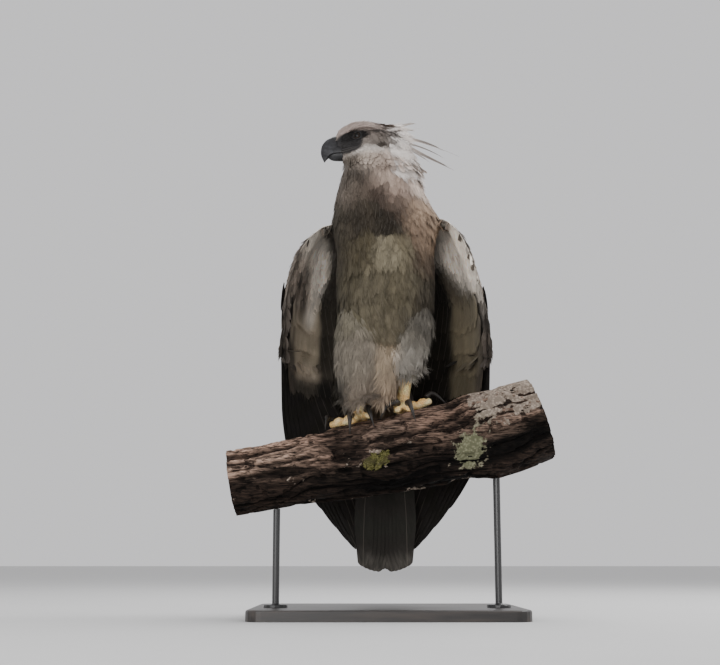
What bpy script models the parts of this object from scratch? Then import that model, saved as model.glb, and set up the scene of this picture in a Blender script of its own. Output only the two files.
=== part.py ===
"""A perched young harpy eagle, life size, on a cut length of branch held by a plain display stand.

Metres, +Z up. The bird faces -Y with its head turned to -X. The origin is on the underside of the
base, below the middle of the branch.
"""

import math

import bmesh
import bpy
import numpy as np
from mathutils import Vector
from mathutils.bvhtree import BVHTree

GAP = 0.0004  # left between pieces that meet
FLAT = math.radians(2)  # edges that bend less than this are left out of a cut mesh
RIGHT, LEFT = -1, 1  # the bird's own right side is at -X
SIDES = ((RIGHT, "right"), (LEFT, "left"))

# Branch: a limb that bends upwards as it climbs to +X. The axis is a cubic in x, and each radius
# goes with an x
PERCH_AXIS = (0.2975, 0.185, 0.13, 0.25)
PERCH_HALF_LENGTH = 0.29
PERCH_RADII = (
    (-0.290, 0.0636),
    (-0.198, 0.0655),
    (-0.106, 0.0705),
    (0.000, 0.0725),
    (0.117, 0.0735),
    (0.160, 0.0800),
    (0.215, 0.0810),
    (0.290, 0.0775),
)
PERCH_LUMP = 0.0030  # how far the limb is out of round

# Display stand
BASE_SIZE = (0.50, 0.38, 0.020)
BASE_CENTRE_Y = 0.045
BASE_BEVEL = 0.004
ROD_X = (-0.205, 0.205)
ROD_RADIUS = 0.0065
ROD_FOOT_RADIUS = 0.022
ROD_FOOT_HEIGHT = 0.005

# Trunk and neck: height, centre x, centre y, half width, half depth
TRUNK = (
    (0.330, -0.004, 0.122, 0.034, 0.010),
    (0.352, -0.012, 0.119, 0.047, 0.020),
    (0.385, -0.026, 0.104, 0.058, 0.036),
    (0.420, -0.038, 0.074, 0.064, 0.062),
    (0.455, -0.031, 0.047, 0.076, 0.088),
    (0.500, -0.013, 0.022, 0.093, 0.107),
    (0.550, -0.003, 0.007, 0.101, 0.119),
    (0.620, -0.001, -0.007, 0.103, 0.125),
    (0.690, -0.001, -0.003, 0.103, 0.123),
    (0.745, -0.001, 0.002, 0.111, 0.112),
    (0.774, -0.003, 0.001, 0.107, 0.100),
    (0.805, -0.009, -0.002, 0.095, 0.087),
    (0.845, -0.013, -0.008, 0.081, 0.074),
    (0.880, -0.012, -0.014, 0.069, 0.062),
    (0.908, -0.012, -0.020, 0.050, 0.044),
)
NECK_FROM, NECK_TO = 0.795, 0.862  # heights of the two thin cuts

# Head, in its own frame: x towards the bill, y to the side, z up
HEAD_CENTRE = Vector((-0.027, -0.028, 0.907))
# along the bill, centre height, half width, half height
SKULL = (
    (-0.070, -0.007, 0.012, 0.013),
    (-0.060, -0.006, 0.032, 0.028),
    (-0.042, -0.004, 0.045, 0.037),
    (-0.018, -0.003, 0.050, 0.0390),
    (0.008, -0.001, 0.048, 0.0415),
    (0.028, -0.001, 0.040, 0.0420),
    (0.042, -0.003, 0.032, 0.0420),
    (0.055, -0.006, 0.0225, 0.0380),
    (0.066, -0.008, 0.0160, 0.0330),
    (0.075, -0.012, 0.0100, 0.0220),
)
EYE_PLACE = (0.026, 0.0310, -0.002)
EYE_RADIUS = 0.0115
BROW = ((0.052, 0.022, 0.0090), (0.004, 0.045, 0.0135), 0.0060)  # front end, back end, radius
CHEEK = ((0.010, 0.028, -0.018), 0.0195)

# Bill profiles in the head's frame, from the base to the tip: top edge, cutting edge, half width
BILL_KEEL = 0.16  # how much narrower the upper half gets towards its ridge
BILL_PALATE = 0.10  # how far its underside bulges down, as a share of its height
UPPER_BILL = (
    ((0.0465, 0.0105), (0.0465, -0.0240), 0.0175),
    ((0.058, 0.0110), (0.056, -0.0255), 0.0165),
    ((0.074, 0.0090), (0.070, -0.0275), 0.0135),
    ((0.0875, 0.0035), (0.080, -0.0295), 0.0105),
    ((0.0965, -0.0070), (0.0850, -0.0325), 0.0080),
    ((0.0993, -0.0185), (0.0875, -0.0355), 0.0058),
    ((0.0985, -0.0300), (0.0892, -0.0385), 0.0036),
    ((0.0930, -0.0425), (0.0915, -0.0435), 0.0009),
)
LOWER_BILL = (
    ((0.030, -0.0225), (0.030, -0.0400), 0.0185),
    ((0.048, -0.0242), (0.048, -0.0410), 0.0160),
    ((0.066, -0.0270), (0.064, -0.0410), 0.0122),
    ((0.078, -0.0292), (0.076, -0.0400), 0.0080),
    ((0.0840, -0.0320), (0.0830, -0.0365), 0.0032),
)

# Crest feathers in the head's frame: side, height, raise, outward turn, roll in degrees, length, width
CREST = (
    (0.000, 0.028, 18, 4, 30, 0.040, 0.014),
    (0.010, 0.012, 18, 8, -30, 0.054, 0.014),
    (-0.012, 0.010, -4, -8, 35, 0.092, 0.017),
    (0.004, 0.006, -14, 4, -25, 0.112, 0.018),
    (-0.006, 0.000, -24, -4, 30, 0.104, 0.018),
    (0.018, -0.008, -35, 12, -45, 0.070, 0.017),
    (-0.016, -0.010, -45, -8, 45, 0.060, 0.018),
)
CREST_ROOT = -0.050  # how far behind the head's centre the feathers start
CREST_PAD = ((-0.050, 0.0, 0.002), (0.026, 0.034, 0.032))  # centre, half sizes

# Wings: height, front edge x y, back edge x y, bow, thickness at the front edge and at the back
WING = (
    (0.770, 0.100, 0.004, 0.054, 0.082, 0.016, 0.010, 0.010),
    (0.750, 0.126, -0.030, 0.040, 0.103, 0.034, 0.026, 0.014),
    (0.724, 0.150, -0.056, 0.028, 0.120, 0.050, 0.038, 0.016),
    (0.690, 0.170, -0.066, 0.020, 0.132, 0.058, 0.042, 0.016),
    (0.640, 0.186, -0.058, 0.015, 0.142, 0.062, 0.038, 0.015),
    (0.570, 0.195, -0.034, 0.012, 0.152, 0.062, 0.030, 0.014),
    (0.500, 0.198, 0.004, 0.011, 0.163, 0.058, 0.023, 0.013),
    (0.440, 0.202, 0.050, 0.011, 0.172, 0.050, 0.018, 0.012),
    (0.380, 0.203, 0.090, 0.012, 0.182, 0.040, 0.014, 0.011),
    (0.320, 0.193, 0.112, 0.015, 0.191, 0.030, 0.012, 0.010),
    (0.260, 0.165, 0.132, 0.020, 0.198, 0.021, 0.010, 0.009),
    (0.200, 0.125, 0.150, 0.028, 0.204, 0.013, 0.008, 0.007),
    (0.150, 0.085, 0.172, 0.038, 0.208, 0.007, 0.006, 0.005),
    (0.122, 0.060, 0.192, 0.046, 0.209, 0.002, 0.004, 0.003),
)
WING_DROP = {RIGHT: 0.014, LEFT: 0.0}  # the right wing hangs a little lower
WING_TUCK = {RIGHT: 0.045, LEFT: 0.12}  # share by which each shoulder is held in
TUCK_HEIGHT, TUCK_REACH = 0.695, 0.11
WING_SPLIT = 0.495  # height of the cut between the coverts and the long feathers

# Tail: height, centre y, half width, half thickness
TAIL = (
    (0.470, 0.098, 0.040, 0.0060),
    (0.420, 0.118, 0.056, 0.0080),
    (0.360, 0.1395, 0.064, 0.0080),
    (0.280, 0.1515, 0.066, 0.0070),
    (0.200, 0.1635, 0.064, 0.0065),
    (0.130, 0.1745, 0.058, 0.0055),
    (0.095, 0.1800, 0.049, 0.0045),
    (0.078, 0.1830, 0.036, 0.0030),
)

# Legs, for each side. A thigh is a chain of x, y, z, radius; the foot stands at a place along the
# branch; a toe has a heading in degrees (0 is straight forward, 90 outward), a length, how far its
# end is raised, and its claw's heading and length
THIGHS = {
    RIGHT: (
        (-0.050, -0.022, 0.590, 0.046),
        (-0.050, -0.048, 0.525, 0.056),
        (-0.056, -0.056, 0.470, 0.053),
        (-0.058, -0.048, 0.432, 0.043),
        (-0.050, -0.032, 0.406, 0.027),
    ),
    LEFT: (
        (0.046, -0.018, 0.590, 0.046),
        (0.046, -0.042, 0.540, 0.053),
        (0.047, -0.046, 0.500, 0.044),
        (0.046, -0.032, 0.472, 0.032),
        (0.045, -0.016, 0.452, 0.019),
    ),
}

# Belly fluff that hangs between the legs, kept with the right thigh: x, y, z, radius
FLUFF = (
    (-0.022, -0.030, 0.520, 0.040),
    (-0.016, -0.040, 0.480, 0.045),
    (-0.011, -0.036, 0.440, 0.041),
    (-0.007, -0.026, 0.408, 0.027),
)
FOOT_AT = {RIGHT: -0.033, LEFT: 0.0455}
FOOT_FORWARD = math.radians(-10)  # how far round the branch the ankle stands
TARSUS_TOP = {RIGHT: Vector((-0.030, -0.024, 0.450)), LEFT: Vector((0.0460, -0.018, 0.490))}
TARSUS_RADIUS = 0.0115
PALM_RADIUS = 0.0150
TOES = {
    RIGHT: (
        (86, 0.062, 0.000, 25, 0.034),
        (22, 0.058, 0.000, 12, 0.034),
        (-20, 0.042, 0.000, -8, 0.040),
        (184, 0.042, 0.003, 184, 0.056),
    ),
    LEFT: (
        (88, 0.059, 0.008, 96, 0.027),
        (12, 0.057, 0.000, 8, 0.034),
        (-13, 0.046, 0.000, -60, 0.036),
        (176, 0.042, 0.003, 176, 0.056),
    ),
}
TOE_NAMES = ("outer", "middle", "inner", "hind")
TOE_RADIUS = 0.0092
CLAW_RADII = (0.0054, 0.0060, 0.0070, 0.0080)

# Colours: base colour, roughness
SURFACES = {
    "plumage_pale": ((0.42, 0.38, 0.33), 0.9),
    "plumage_grey": ((0.22, 0.19, 0.17), 0.9),
    "plumage_dark": ((0.07, 0.06, 0.055), 0.85),
    "plumage_white": ((0.50, 0.47, 0.42), 0.9),
    "bill": ((0.035, 0.036, 0.040), 0.35),
    "eye": ((0.03, 0.018, 0.012), 0.08),
    "leg_skin": ((0.62, 0.36, 0.08), 0.55),
    "claw": ((0.04, 0.038, 0.036), 0.3),
    "bark": ((0.10, 0.07, 0.055), 0.95),
    "stand_black": ((0.02, 0.02, 0.022), 0.4),
}


def clear_scene():
    for obj in list(bpy.data.objects):
        bpy.data.objects.remove(obj)


def material(name):
    """The shared Principled material of that name."""
    found = bpy.data.materials.get(name)
    if found:
        return found
    colour, roughness = SURFACES[name]
    made = bpy.data.materials.new(name)
    made.use_nodes = True
    shader = made.node_tree.nodes["Principled BSDF"]
    shader.inputs["Base Color"].default_value = (*colour, 1.0)
    shader.inputs["Roughness"].default_value = roughness
    shader.inputs["Metallic"].default_value = 0.0
    return made


def new_object(name, mesh, surface=None):
    obj = bpy.data.objects.new(name, mesh)
    bpy.context.scene.collection.objects.link(obj)
    if surface:
        mesh.materials.clear()
        mesh.materials.append(material(surface))
        mesh.shade_smooth()
        mesh.set_sharp_from_angle(angle=math.radians(50))
    return obj


def mesh_of(name, points, faces):
    """A mesh of triangles that face outwards, so that a cutter and its source bend alike."""
    mesh = bpy.data.meshes.new(name)
    mesh.from_pydata([tuple(p) for p in points], [], faces)
    work = bmesh.new()
    work.from_mesh(mesh)
    bmesh.ops.recalc_face_normals(work, faces=work.faces)
    bmesh.ops.triangulate(work, faces=work.faces)
    work.to_mesh(mesh)
    work.free()
    return mesh


def curve_through(rows, count):
    """count rows on a smooth (Catmull-Rom) curve through the given ones, spaced as they are."""
    rows = np.array(rows, float)
    ends = np.vstack([2 * rows[0] - rows[1], rows, 2 * rows[-1] - rows[-2]])
    at = np.linspace(0, len(rows) - 1, count)
    i = np.minimum(at.astype(int), len(rows) - 2)
    t = (at - i)[:, None]
    a, b, c, d = (ends[i + k] for k in range(4))
    square, cube = 2 * a - 5 * b + 4 * c - d, 3 * b - a - 3 * c + d
    return 0.5 * (2 * b + (c - a) * t + square * t**2 + cube * t**3)


def value_at(rows, x):
    """The smooth curve through rows, read where its first column is x."""
    fine = curve_through(rows, 16 * len(rows))
    order = np.argsort(fine[:, 0])
    return np.array([np.interp(x, fine[order, 0], fine[order, k]) for k in range(1, fine.shape[1])])


def loft_mesh(name, rings):
    """A closed skin over rings of equal length, with a flat cap at each end."""
    rings = np.array(rings, float)
    count, around = rings.shape[:2]
    faces = []
    for i in range(count - 1):
        for j in range(around):
            k = (j + 1) % around
            faces.append((i * around + j, i * around + k, (i + 1) * around + k, (i + 1) * around + j))
    faces.append(tuple(range(around))[::-1])
    faces.append(tuple(range((count - 1) * around, count * around)))
    return mesh_of(name, rings.reshape(-1, 3), faces)


def circle(around):
    turn = np.linspace(0, 2 * math.pi, around, endpoint=False)
    return np.cos(turn), np.sin(turn)


def tube_rings(path, radii, around, up=(0.0, 0.0, 1.0)):
    """Rings square to a path of points, with a radius for each."""
    path = np.array(path, float)
    along = np.gradient(path, axis=0)
    along /= np.linalg.norm(along, axis=1)[:, None]
    side = np.cross(along, np.array(up))
    side /= np.linalg.norm(side, axis=1)[:, None]
    top = np.cross(side, along)
    c, s = circle(around)
    radii = np.array(radii, float)
    round_path = c[None, :, None] * side[:, None] + s[None, :, None] * top[:, None]
    return path[:, None] + radii[:, None, None] * round_path


def ball_mesh(name, centre, sizes, segments=20, rings=12):
    work = bmesh.new()
    bmesh.ops.create_uvsphere(work, u_segments=segments, v_segments=rings, radius=1.0)
    for vertex in work.verts:
        vertex.co = Vector(centre) + Vector(vertex.co[k] * sizes[k] for k in range(3))
    mesh = bpy.data.meshes.new(name)
    work.to_mesh(mesh)
    work.free()
    return mesh


def evaluated(obj):
    """The mesh that the object's modifiers make, which takes its place."""
    bpy.context.view_layer.update()
    made = bpy.data.meshes.new_from_object(obj.evaluated_get(bpy.context.evaluated_depsgraph_get()))
    obj.modifiers.clear()
    obj.data = made
    return made


def blended(name, meshes, voxel, smoothing, triangles):
    """Overlapping closed meshes made one skin, smoothed, and thinned to about that many triangles."""
    work = bmesh.new()
    for mesh in meshes:
        work.from_mesh(mesh)
    joined = bpy.data.meshes.new(name)
    work.to_mesh(joined)
    work.free()
    obj = new_object(name + "_work", joined)
    remesh = obj.modifiers.new("Remesh", "REMESH")
    remesh.mode = "VOXEL"
    remesh.voxel_size = voxel
    smooth = obj.modifiers.new("Smooth", "SMOOTH")
    smooth.factor = 0.5
    smooth.iterations = smoothing
    evaluated(obj)
    thin = obj.modifiers.new("Decimate", "DECIMATE")
    thin.ratio = min(1.0, triangles / (2 * len(obj.data.polygons)))
    made = evaluated(obj)
    bpy.data.objects.remove(obj)
    return made


def grown(mesh, by):
    """A copy of a mesh whose surface stands proud by that much."""
    made = mesh.copy()
    moves = [v.co + v.normal * by for v in made.vertices]
    for vertex, place in zip(made.vertices, moves, strict=True):
        vertex.co = place
    return made


def cut_by(mesh, *cutters, gap=GAP):
    """The mesh less the cutters, each grown by the gap."""
    obj = new_object("cut_work", mesh)
    helpers = []
    for cutter in cutters:
        helper = new_object("cutter", grown(cutter, gap))
        helper.hide_render = True
        modifier = obj.modifiers.new("Boolean", "BOOLEAN")
        modifier.operation = "DIFFERENCE"
        modifier.object = helper
        helpers.append(helper)
    made = evaluated(obj)
    for helper in [obj, *helpers]:
        bpy.data.objects.remove(helper)
    return largest_body(made)


def largest_body(mesh):
    """The mesh's main body, without crumbs beside it or needless edges on its flat stretches."""
    work = bmesh.new()
    work.from_mesh(mesh)
    work.verts.ensure_lookup_table()
    seen, bodies = set(), []
    for start in work.verts:
        if start.index in seen:
            continue
        body, todo = [], [start]
        seen.add(start.index)
        while todo:
            vertex = todo.pop()
            body.append(vertex)
            for edge in vertex.link_edges:
                other = edge.other_vert(vertex)
                if other.index not in seen:
                    seen.add(other.index)
                    todo.append(other)
        bodies.append(body)
    bodies.sort(key=len)
    crumbs = [v for body in bodies[:-1] for v in body]
    bmesh.ops.delete(work, geom=crumbs, context="VERTS")
    bmesh.ops.dissolve_limit(work, angle_limit=FLAT, verts=work.verts, edges=work.edges)
    bmesh.ops.triangulate(work, faces=work.faces)
    made = bpy.data.meshes.new(mesh.name)
    work.to_mesh(made)
    work.free()
    return made


def sliced(mesh, low=None, high=None):
    """The part of a mesh between two heights, closed with flat faces."""
    work = bmesh.new()
    work.from_mesh(mesh)
    for height, normal in ((low, (0, 0, -1)), (high, (0, 0, 1))):
        if height is None:
            continue
        everything = work.verts[:] + work.edges[:] + work.faces[:]
        cut = bmesh.ops.bisect_plane(
            work, geom=everything, plane_co=(0, 0, height), plane_no=normal, clear_outer=True
        )
        edges = [e for e in cut["geom_cut"] if isinstance(e, bmesh.types.BMEdge)]
        bmesh.ops.contextual_create(work, geom=edges)
    made = bpy.data.meshes.new(mesh.name)
    bmesh.ops.recalc_face_normals(work, faces=work.faces)
    work.to_mesh(made)
    work.free()
    return made


def perch_radius(along):
    return float(value_at(PERCH_RADII, along)[0])


def lump(along, turn):
    """How far the limb's surface stands out of round at a place."""
    return PERCH_LUMP * (math.sin(2 * turn + 9 * along) + 0.6 * math.sin(3 * turn - 14 * along + 1.0))


def on_perch(along, turn, height=0.0):
    """A point above the branch at an x: turn is 0 on top and grows towards the front."""
    a, b, c, d = PERCH_AXIS
    centre = Vector((along, 0, a + b * along + c * along**2 + d * along**3))
    top = Vector((-(b + 2 * c * along + 3 * d * along**2), 0, 1)).normalized()
    out = top * math.cos(turn) - Vector((0, 1, 0)) * math.sin(turn)
    return centre + out * float(perch_radius(along) + lump(along, turn) + height)


def perch_mesh():
    alongs = np.linspace(-PERCH_HALF_LENGTH, PERCH_HALF_LENGTH, 13)
    turns = np.linspace(0, 2 * math.pi, 24, endpoint=False)
    return loft_mesh("perch", [[on_perch(a, t) for t in turns] for a in alongs])


def base_mesh():
    work = bmesh.new()
    bmesh.ops.create_cube(work, size=1.0)
    for vertex in work.verts:
        vertex.co = Vector(
            (
                vertex.co.x * BASE_SIZE[0],
                vertex.co.y * BASE_SIZE[1] + BASE_CENTRE_Y,
                (vertex.co.z + 0.5) * BASE_SIZE[2],
            )
        )
    upright = [e for e in work.edges if abs(e.verts[0].co.z - e.verts[1].co.z) > BASE_SIZE[2] / 2]
    bmesh.ops.bevel(work, geom=upright, offset=0.03, segments=5, affect="EDGES", profile=0.5)
    rim = [e for e in work.edges if min(v.co.z for v in e.verts) > BASE_SIZE[2] - GAP]
    rim = [e for e in rim if any(abs(f.normal.z) < 0.5 for f in e.link_faces)]
    bmesh.ops.bevel(work, geom=rim, offset=BASE_BEVEL, segments=3, affect="EDGES", profile=0.5)
    mesh = bpy.data.meshes.new("stand_base")
    work.to_mesh(mesh)
    work.free()
    return mesh


def rod_mesh(x):
    """A turned rod with a round foot, long enough to reach into the branch."""
    low, top = BASE_SIZE[2] + GAP, on_perch(x, math.pi).z + PERCH_RADII[0][1] / 2
    foot = low + ROD_FOOT_HEIGHT
    profile = (
        (low, ROD_FOOT_RADIUS),
        (foot - 0.001, ROD_FOOT_RADIUS),
        (foot, ROD_FOOT_RADIUS - 0.001),
        (foot, ROD_RADIUS + 0.002),
        (foot + 0.002, ROD_RADIUS),
        (top, ROD_RADIUS),
    )
    c, s = circle(16)
    rings = [np.stack([x + r * c, r * s, np.full(16, z)], axis=1) for z, r in profile]
    return loft_mesh("rod", rings)


def trunk_mesh():
    rows = curve_through(TRUNK, 22)
    c, s = circle(22)
    rings = []
    for z, x, y, wide, deep in rows:
        rings.append(np.stack([x + wide * c, y + deep * s, np.full(22, z)], axis=1))
    return loft_mesh("trunk", rings)


def head_place(point):
    """A point of the head's own frame in the world. The bill points to -X."""
    x, y, z = point
    return HEAD_CENTRE + Vector((-x, -y, z))


def in_head(mesh):
    for vertex in mesh.vertices:
        vertex.co = head_place(vertex.co)
    return mesh


def skull_mesh():
    c, s = circle(24)
    rings = []
    for x, z, wide, high in curve_through(SKULL, 22):
        rings.append(np.stack([np.full(24, x), wide * c, z + high * s], axis=1))
    return in_head(loft_mesh("skull", rings))


def brow_mesh(side):
    front, back, radius = (np.array(v, float) for v in BROW)
    ends = [np.array((p[0], p[1] * side, p[2])) for p in (front, back)]
    path = [ends[0] + (ends[1] - ends[0]) * t for t in np.linspace(0, 1, 6)]
    radii = [radius * k for k in (0.5, 0.9, 1.0, 1.0, 0.9, 0.5)]
    return in_head(loft_mesh("brow", tube_rings(path, radii, 10)))


def bill_mesh(name, stations, upper):
    """Half of the bill: a dome above or a trough below, nearly flat where the two meet."""
    flat = [(top[0], top[1], low[0], low[1], wide) for top, low, wide in stations]
    turn = np.linspace(0, 2 * math.pi, 12, endpoint=False)
    cos, side = np.cos(turn), np.sin(turn)
    if upper:
        height = np.where(cos > 0, cos, BILL_PALATE * cos)
        side = side * np.where(cos > 0, 1 - BILL_KEEL * cos, 1.0)
    else:
        height = 1 + np.minimum(cos, 0)
    rings = []
    for tx, tz, lx, lz, wide in curve_through(flat, 13):
        rings.append(
            np.stack([lx + (tx - lx) * height, wide * side, lz + (tz - lz) * height], axis=1)
        )
    return in_head(loft_mesh(name, rings))


def blade_mesh(side, height, raised, turned, rolled, length, width):
    """One long crest feather: a flat drooping blade with a rounded point."""
    up, out, roll = (math.radians(v) for v in (raised, turned, rolled))
    run = Vector((-math.cos(up) * math.cos(out), math.sin(out), math.sin(up)))
    across = run.cross(Vector((0, 0, 1))).normalized()
    flat = across * math.cos(roll) + across.cross(run).normalized() * math.sin(roll)
    thick_way = flat.cross(run).normalized()
    corners = ((1, 0), (0.5, 1), (-0.5, 1), (-1, 0), (-0.5, -1), (0.5, -1))
    rings = []
    for t in np.linspace(0, 1, 8):
        place = Vector((CREST_ROOT, side, height)) + run * length * float(t)
        place.z -= 0.10 * length * t * t
        half = width / 2 * (0.55 + 0.45 * math.sin(math.pi * min(1, 0.2 + 0.9 * t))) * (1 - t**4) ** 0.5
        half, thick = max(half, 0.0009), 0.0016 * (1 - 0.4 * t)
        rings.append([place + flat * half * a + thick_way * thick * b for a, b in corners])
    return in_head(loft_mesh("blade", rings))


def wing_row(side, height):
    """The wing's section at a height: both edges, bow and thicknesses."""
    drop = WING_DROP[side] * min(1.0, max(0.0, (height - 0.2) / 0.5))
    high = WING[0][0]
    values = value_at(WING, min(height + drop, high))
    return values


def wing_ring(side, height, around=16):
    """A closed section of the wing shell: outer face out, inner face back."""
    fx, fy, bx, by, bow, thick_front, thick_back = wing_row(side, height)
    front, back = np.array((fx, fy)), np.array((bx, by))
    run = back - front
    out = np.array((run[1], -run[0])) / np.linalg.norm(run)
    tuck = 1 - WING_TUCK[side] * math.exp(-(((height - TUCK_HEIGHT) / TUCK_REACH) ** 2))
    half = around // 2
    steps = np.linspace(0, 1, half)
    ring = []
    for face in (1, -1):
        for t in steps if face == 1 else steps[::-1]:
            middle = front + run * t + out * bow * 4 * t * (1 - t)
            slope = run + out * bow * 4 * (1 - 2 * t)
            normal = np.array((slope[1], -slope[0])) / np.linalg.norm(slope)
            thick = (thick_front + (thick_back - thick_front) * min(1.0, t * 2.2)) / 2
            edge = math.sqrt(max(0.0, 1 - (1 - min(1.0, t / 0.10, (1 - t) / 0.06)) ** 2))
            x, y = middle + face * normal * thick * max(edge, 0.12)
            ring.append((x * side * tuck, y, height))
    return ring


def wing_mesh(side, low, high, rings):
    heights = np.linspace(low, high, rings)
    return loft_mesh("wing", [wing_ring(side, z) for z in heights])


def tail_mesh():
    c, s = circle(16)
    rings = []
    for z, y, wide, thick in curve_through(TAIL, 15):
        crown = 0.012 * (1 - c**2)  # folded tail feathers lie in a low arch
        rings.append(np.stack([wide * c, y + thick * s + crown - 0.006, np.full(16, z)], axis=1))
    return loft_mesh("tail", rings)


def walk(start, heading, length, side):
    """The place (along, turn) that a step over the bark leads to."""
    along, turn = start
    angle = math.radians(heading)
    return (
        along + side * length * math.sin(angle),
        turn + length * math.cos(angle) / (perch_radius(along) + TOE_RADIUS),
    )


def toe_mesh(side, heading, length, raised):
    """A toe with its pads, standing on the bark."""
    count = 14
    points, radii = [], []
    for i in range(count):
        t = i / (count - 1)
        along, turn = walk((FOOT_AT[side], FOOT_FORWARD), heading, length * t, side)
        radius = TOE_RADIUS * (1 + 0.10 * math.sin(6 * math.pi * t)) * (1.12 - 0.22 * t)
        points.append(on_perch(along, turn, radius + GAP + raised * t**1.5))
        radii.append(radius)
    radii[-1] *= 0.8
    return loft_mesh("toe", tube_rings(points, radii, 12, up=(0, 0, 1)))


def claw_mesh(side, toe, radius):
    """A curved talon from inside the toe's end down to the bark."""
    heading, length, raised, claw_heading, claw = toe
    start = walk((FOOT_AT[side], FOOT_FORWARD), heading, length - 0.008, side)
    count = 8
    points, radii = [], []
    for i in range(count):
        t = i / (count - 1)
        turned = heading + (claw_heading - heading) * min(1.0, 2 * t)
        along, turn = walk(start, turned, (claw + 0.008) * t, side)
        size = max(radius * (1 - t**1.8), 0.0006)
        bend = 0.009 * math.sin(math.pi * t) * (1 - 0.3 * t)
        arch = (TOE_RADIUS + 0.001 + raised) * (1 - t**2.2) + bend
        points.append(on_perch(along, turn, arch + size + GAP))
        radii.append(size)
    return loft_mesh("claw", tube_rings(points, radii, 8, up=(0, 0, 1)))


def ankle(side):
    return on_perch(FOOT_AT[side], FOOT_FORWARD, PALM_RADIUS)


def tarsus_mesh(side):
    low, top = ankle(side), TARSUS_TOP[side]
    steps = np.linspace(-0.1, 1, 9)
    path = [low + (top - low) * t for t in steps]
    radii = [TARSUS_RADIUS * (1.0 + 0.16 * (2 * abs(t - 0.5)) ** 2) for t in steps]
    return loft_mesh("tarsus", tube_rings(path, radii, 14, up=(0, 1, 0)))


def fluff_mesh(rows):
    """A chain of soft rounds as one tube."""
    rows = curve_through(rows, 11)
    return loft_mesh("fluff", tube_rings(rows[:, :3], rows[:, 3], 16, up=(0, 1, 0)))


def thigh_mesh(side):
    if side == LEFT:
        return fluff_mesh(THIGHS[side])
    meshes = [fluff_mesh(THIGHS[side]), fluff_mesh(FLUFF)]
    return blended("thigh", meshes, voxel=0.004, smoothing=3, triangles=420)


def foot_mesh(side):
    """Palm and four toes in one skin."""
    palm = ball_mesh("palm", ankle(side), (PALM_RADIUS, PALM_RADIUS, PALM_RADIUS * 0.92))
    toes = [toe_mesh(side, *toe[:3]) for toe in TOES[side]]
    return blended("foot", [palm, *toes], voxel=0.0016, smoothing=3, triangles=320)


def build_stand(perch):
    new_object("stand_base", base_mesh(), "stand_black")
    for word, x in zip(("right", "left"), ROD_X, strict=True):
        new_object(f"stand_rod_{word}", cut_by(rod_mesh(x), perch), "stand_black")


def build_wings(perch):
    """Both wings, each in two pieces, as one list of meshes."""
    made = []
    for side, word in SIDES:
        top = WING[0][0] - WING_DROP[side]
        coverts = wing_mesh(side, WING_SPLIT + GAP / 2, top, 13)
        flight = cut_by(wing_mesh(side, WING[-1][0], WING_SPLIT - GAP / 2, 13), perch)
        new_object(f"wing_{word}_coverts", coverts, "plumage_grey")
        new_object(f"wing_{word}_flight_feathers", flight, "plumage_dark")
        made += [coverts, flight]
    return made


def build_feet(perch):
    """Toes and talons of both feet: a foot mesh and its claws for each side."""
    made = {}
    for side, word in SIDES:
        claws = []
        for toe, radius, toe_name in zip(TOES[side], CLAW_RADII, TOE_NAMES, strict=True):
            claw = cut_by(claw_mesh(side, toe, radius), perch)
            new_object(f"claw_{word}_{toe_name}", claw, "claw")
            claws.append(claw)
        foot = cut_by(foot_mesh(side), perch, *claws)
        new_object(f"foot_{word}", foot, "leg_skin")
        made[side] = [foot, *claws]
    return made


def build_head(body, neck):
    upper = bill_mesh("bill_upper", UPPER_BILL, True)
    lower = cut_by(bill_mesh("bill_lower", LOWER_BILL, False), upper)
    new_object("bill_upper", upper, "bill")
    new_object("bill_lower", lower, "bill")
    eyes = []
    for side, word in SIDES:
        # The bill points to -X, so the bird's right side is the one that faces the front
        x, y, z = EYE_PLACE
        eyes.append(ball_mesh("eye", head_place((x, -side * y, z)), (EYE_RADIUS,) * 3, 12, 8))
        new_object(f"eye_{word}", eyes[-1], "eye")
    shapes = [skull_mesh(), sliced(body, NECK_TO + GAP / 2, None)]
    for side in (1, -1):
        place, radius = CHEEK
        shapes.append(brow_mesh(side))
        shapes.append(in_head(ball_mesh("cheek", (place[0], place[1] * side, place[2]), (radius,) * 3)))
    head = blended("head", shapes, voxel=0.0028, smoothing=3, triangles=480)
    head = cut_by(sliced(head, NECK_TO + GAP / 2, None), upper, lower, *eyes)
    new_object("head", head, "plumage_pale")
    shapes = [in_head(ball_mesh("pad", *CREST_PAD))]
    shapes += [blade_mesh(*row) for row in CREST]
    crest = blended("crest", shapes, voxel=0.0012, smoothing=1, triangles=400)
    new_object("crest", cut_by(crest, head, neck), "plumage_grey")


def build():
    clear_scene()
    perch = perch_mesh()
    new_object("perch", perch, "bark")
    build_stand(perch)
    wings = build_wings(perch)
    feet = build_feet(perch)
    tail = cut_by(tail_mesh(), perch, *wings)
    new_object("tail", tail, "plumage_grey")
    body = trunk_mesh()
    neck = sliced(body, NECK_FROM + GAP / 2, NECK_TO - GAP / 2)
    new_object("neck", neck, "plumage_pale")
    build_head(body, neck)
    trunk = sliced(body, None, NECK_FROM - GAP / 2)
    trunk = cut_by(trunk, tail, perch, *wings, *feet[RIGHT], *feet[LEFT])
    new_object("trunk", trunk, "plumage_pale")
    legs = [*feet[RIGHT], *feet[LEFT]]
    for side, word in SIDES:
        tarsus = cut_by(tarsus_mesh(side), feet[side][0], trunk)
        new_object(f"tarsus_{word}", tarsus, "leg_skin")
        legs.append(tarsus)
    left = cut_by(thigh_mesh(LEFT), trunk, perch, *legs, *wings)
    new_object("thigh_left", left, "plumage_white")
    right = cut_by(thigh_mesh(RIGHT), trunk, perch, left, *legs, *wings)
    new_object("thigh_right", right, "plumage_white")


build()
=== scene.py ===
"""Looks for the perched young harpy eagle: skin, feathers, bill, eyes, feet, bark and stand."""

import math

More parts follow.
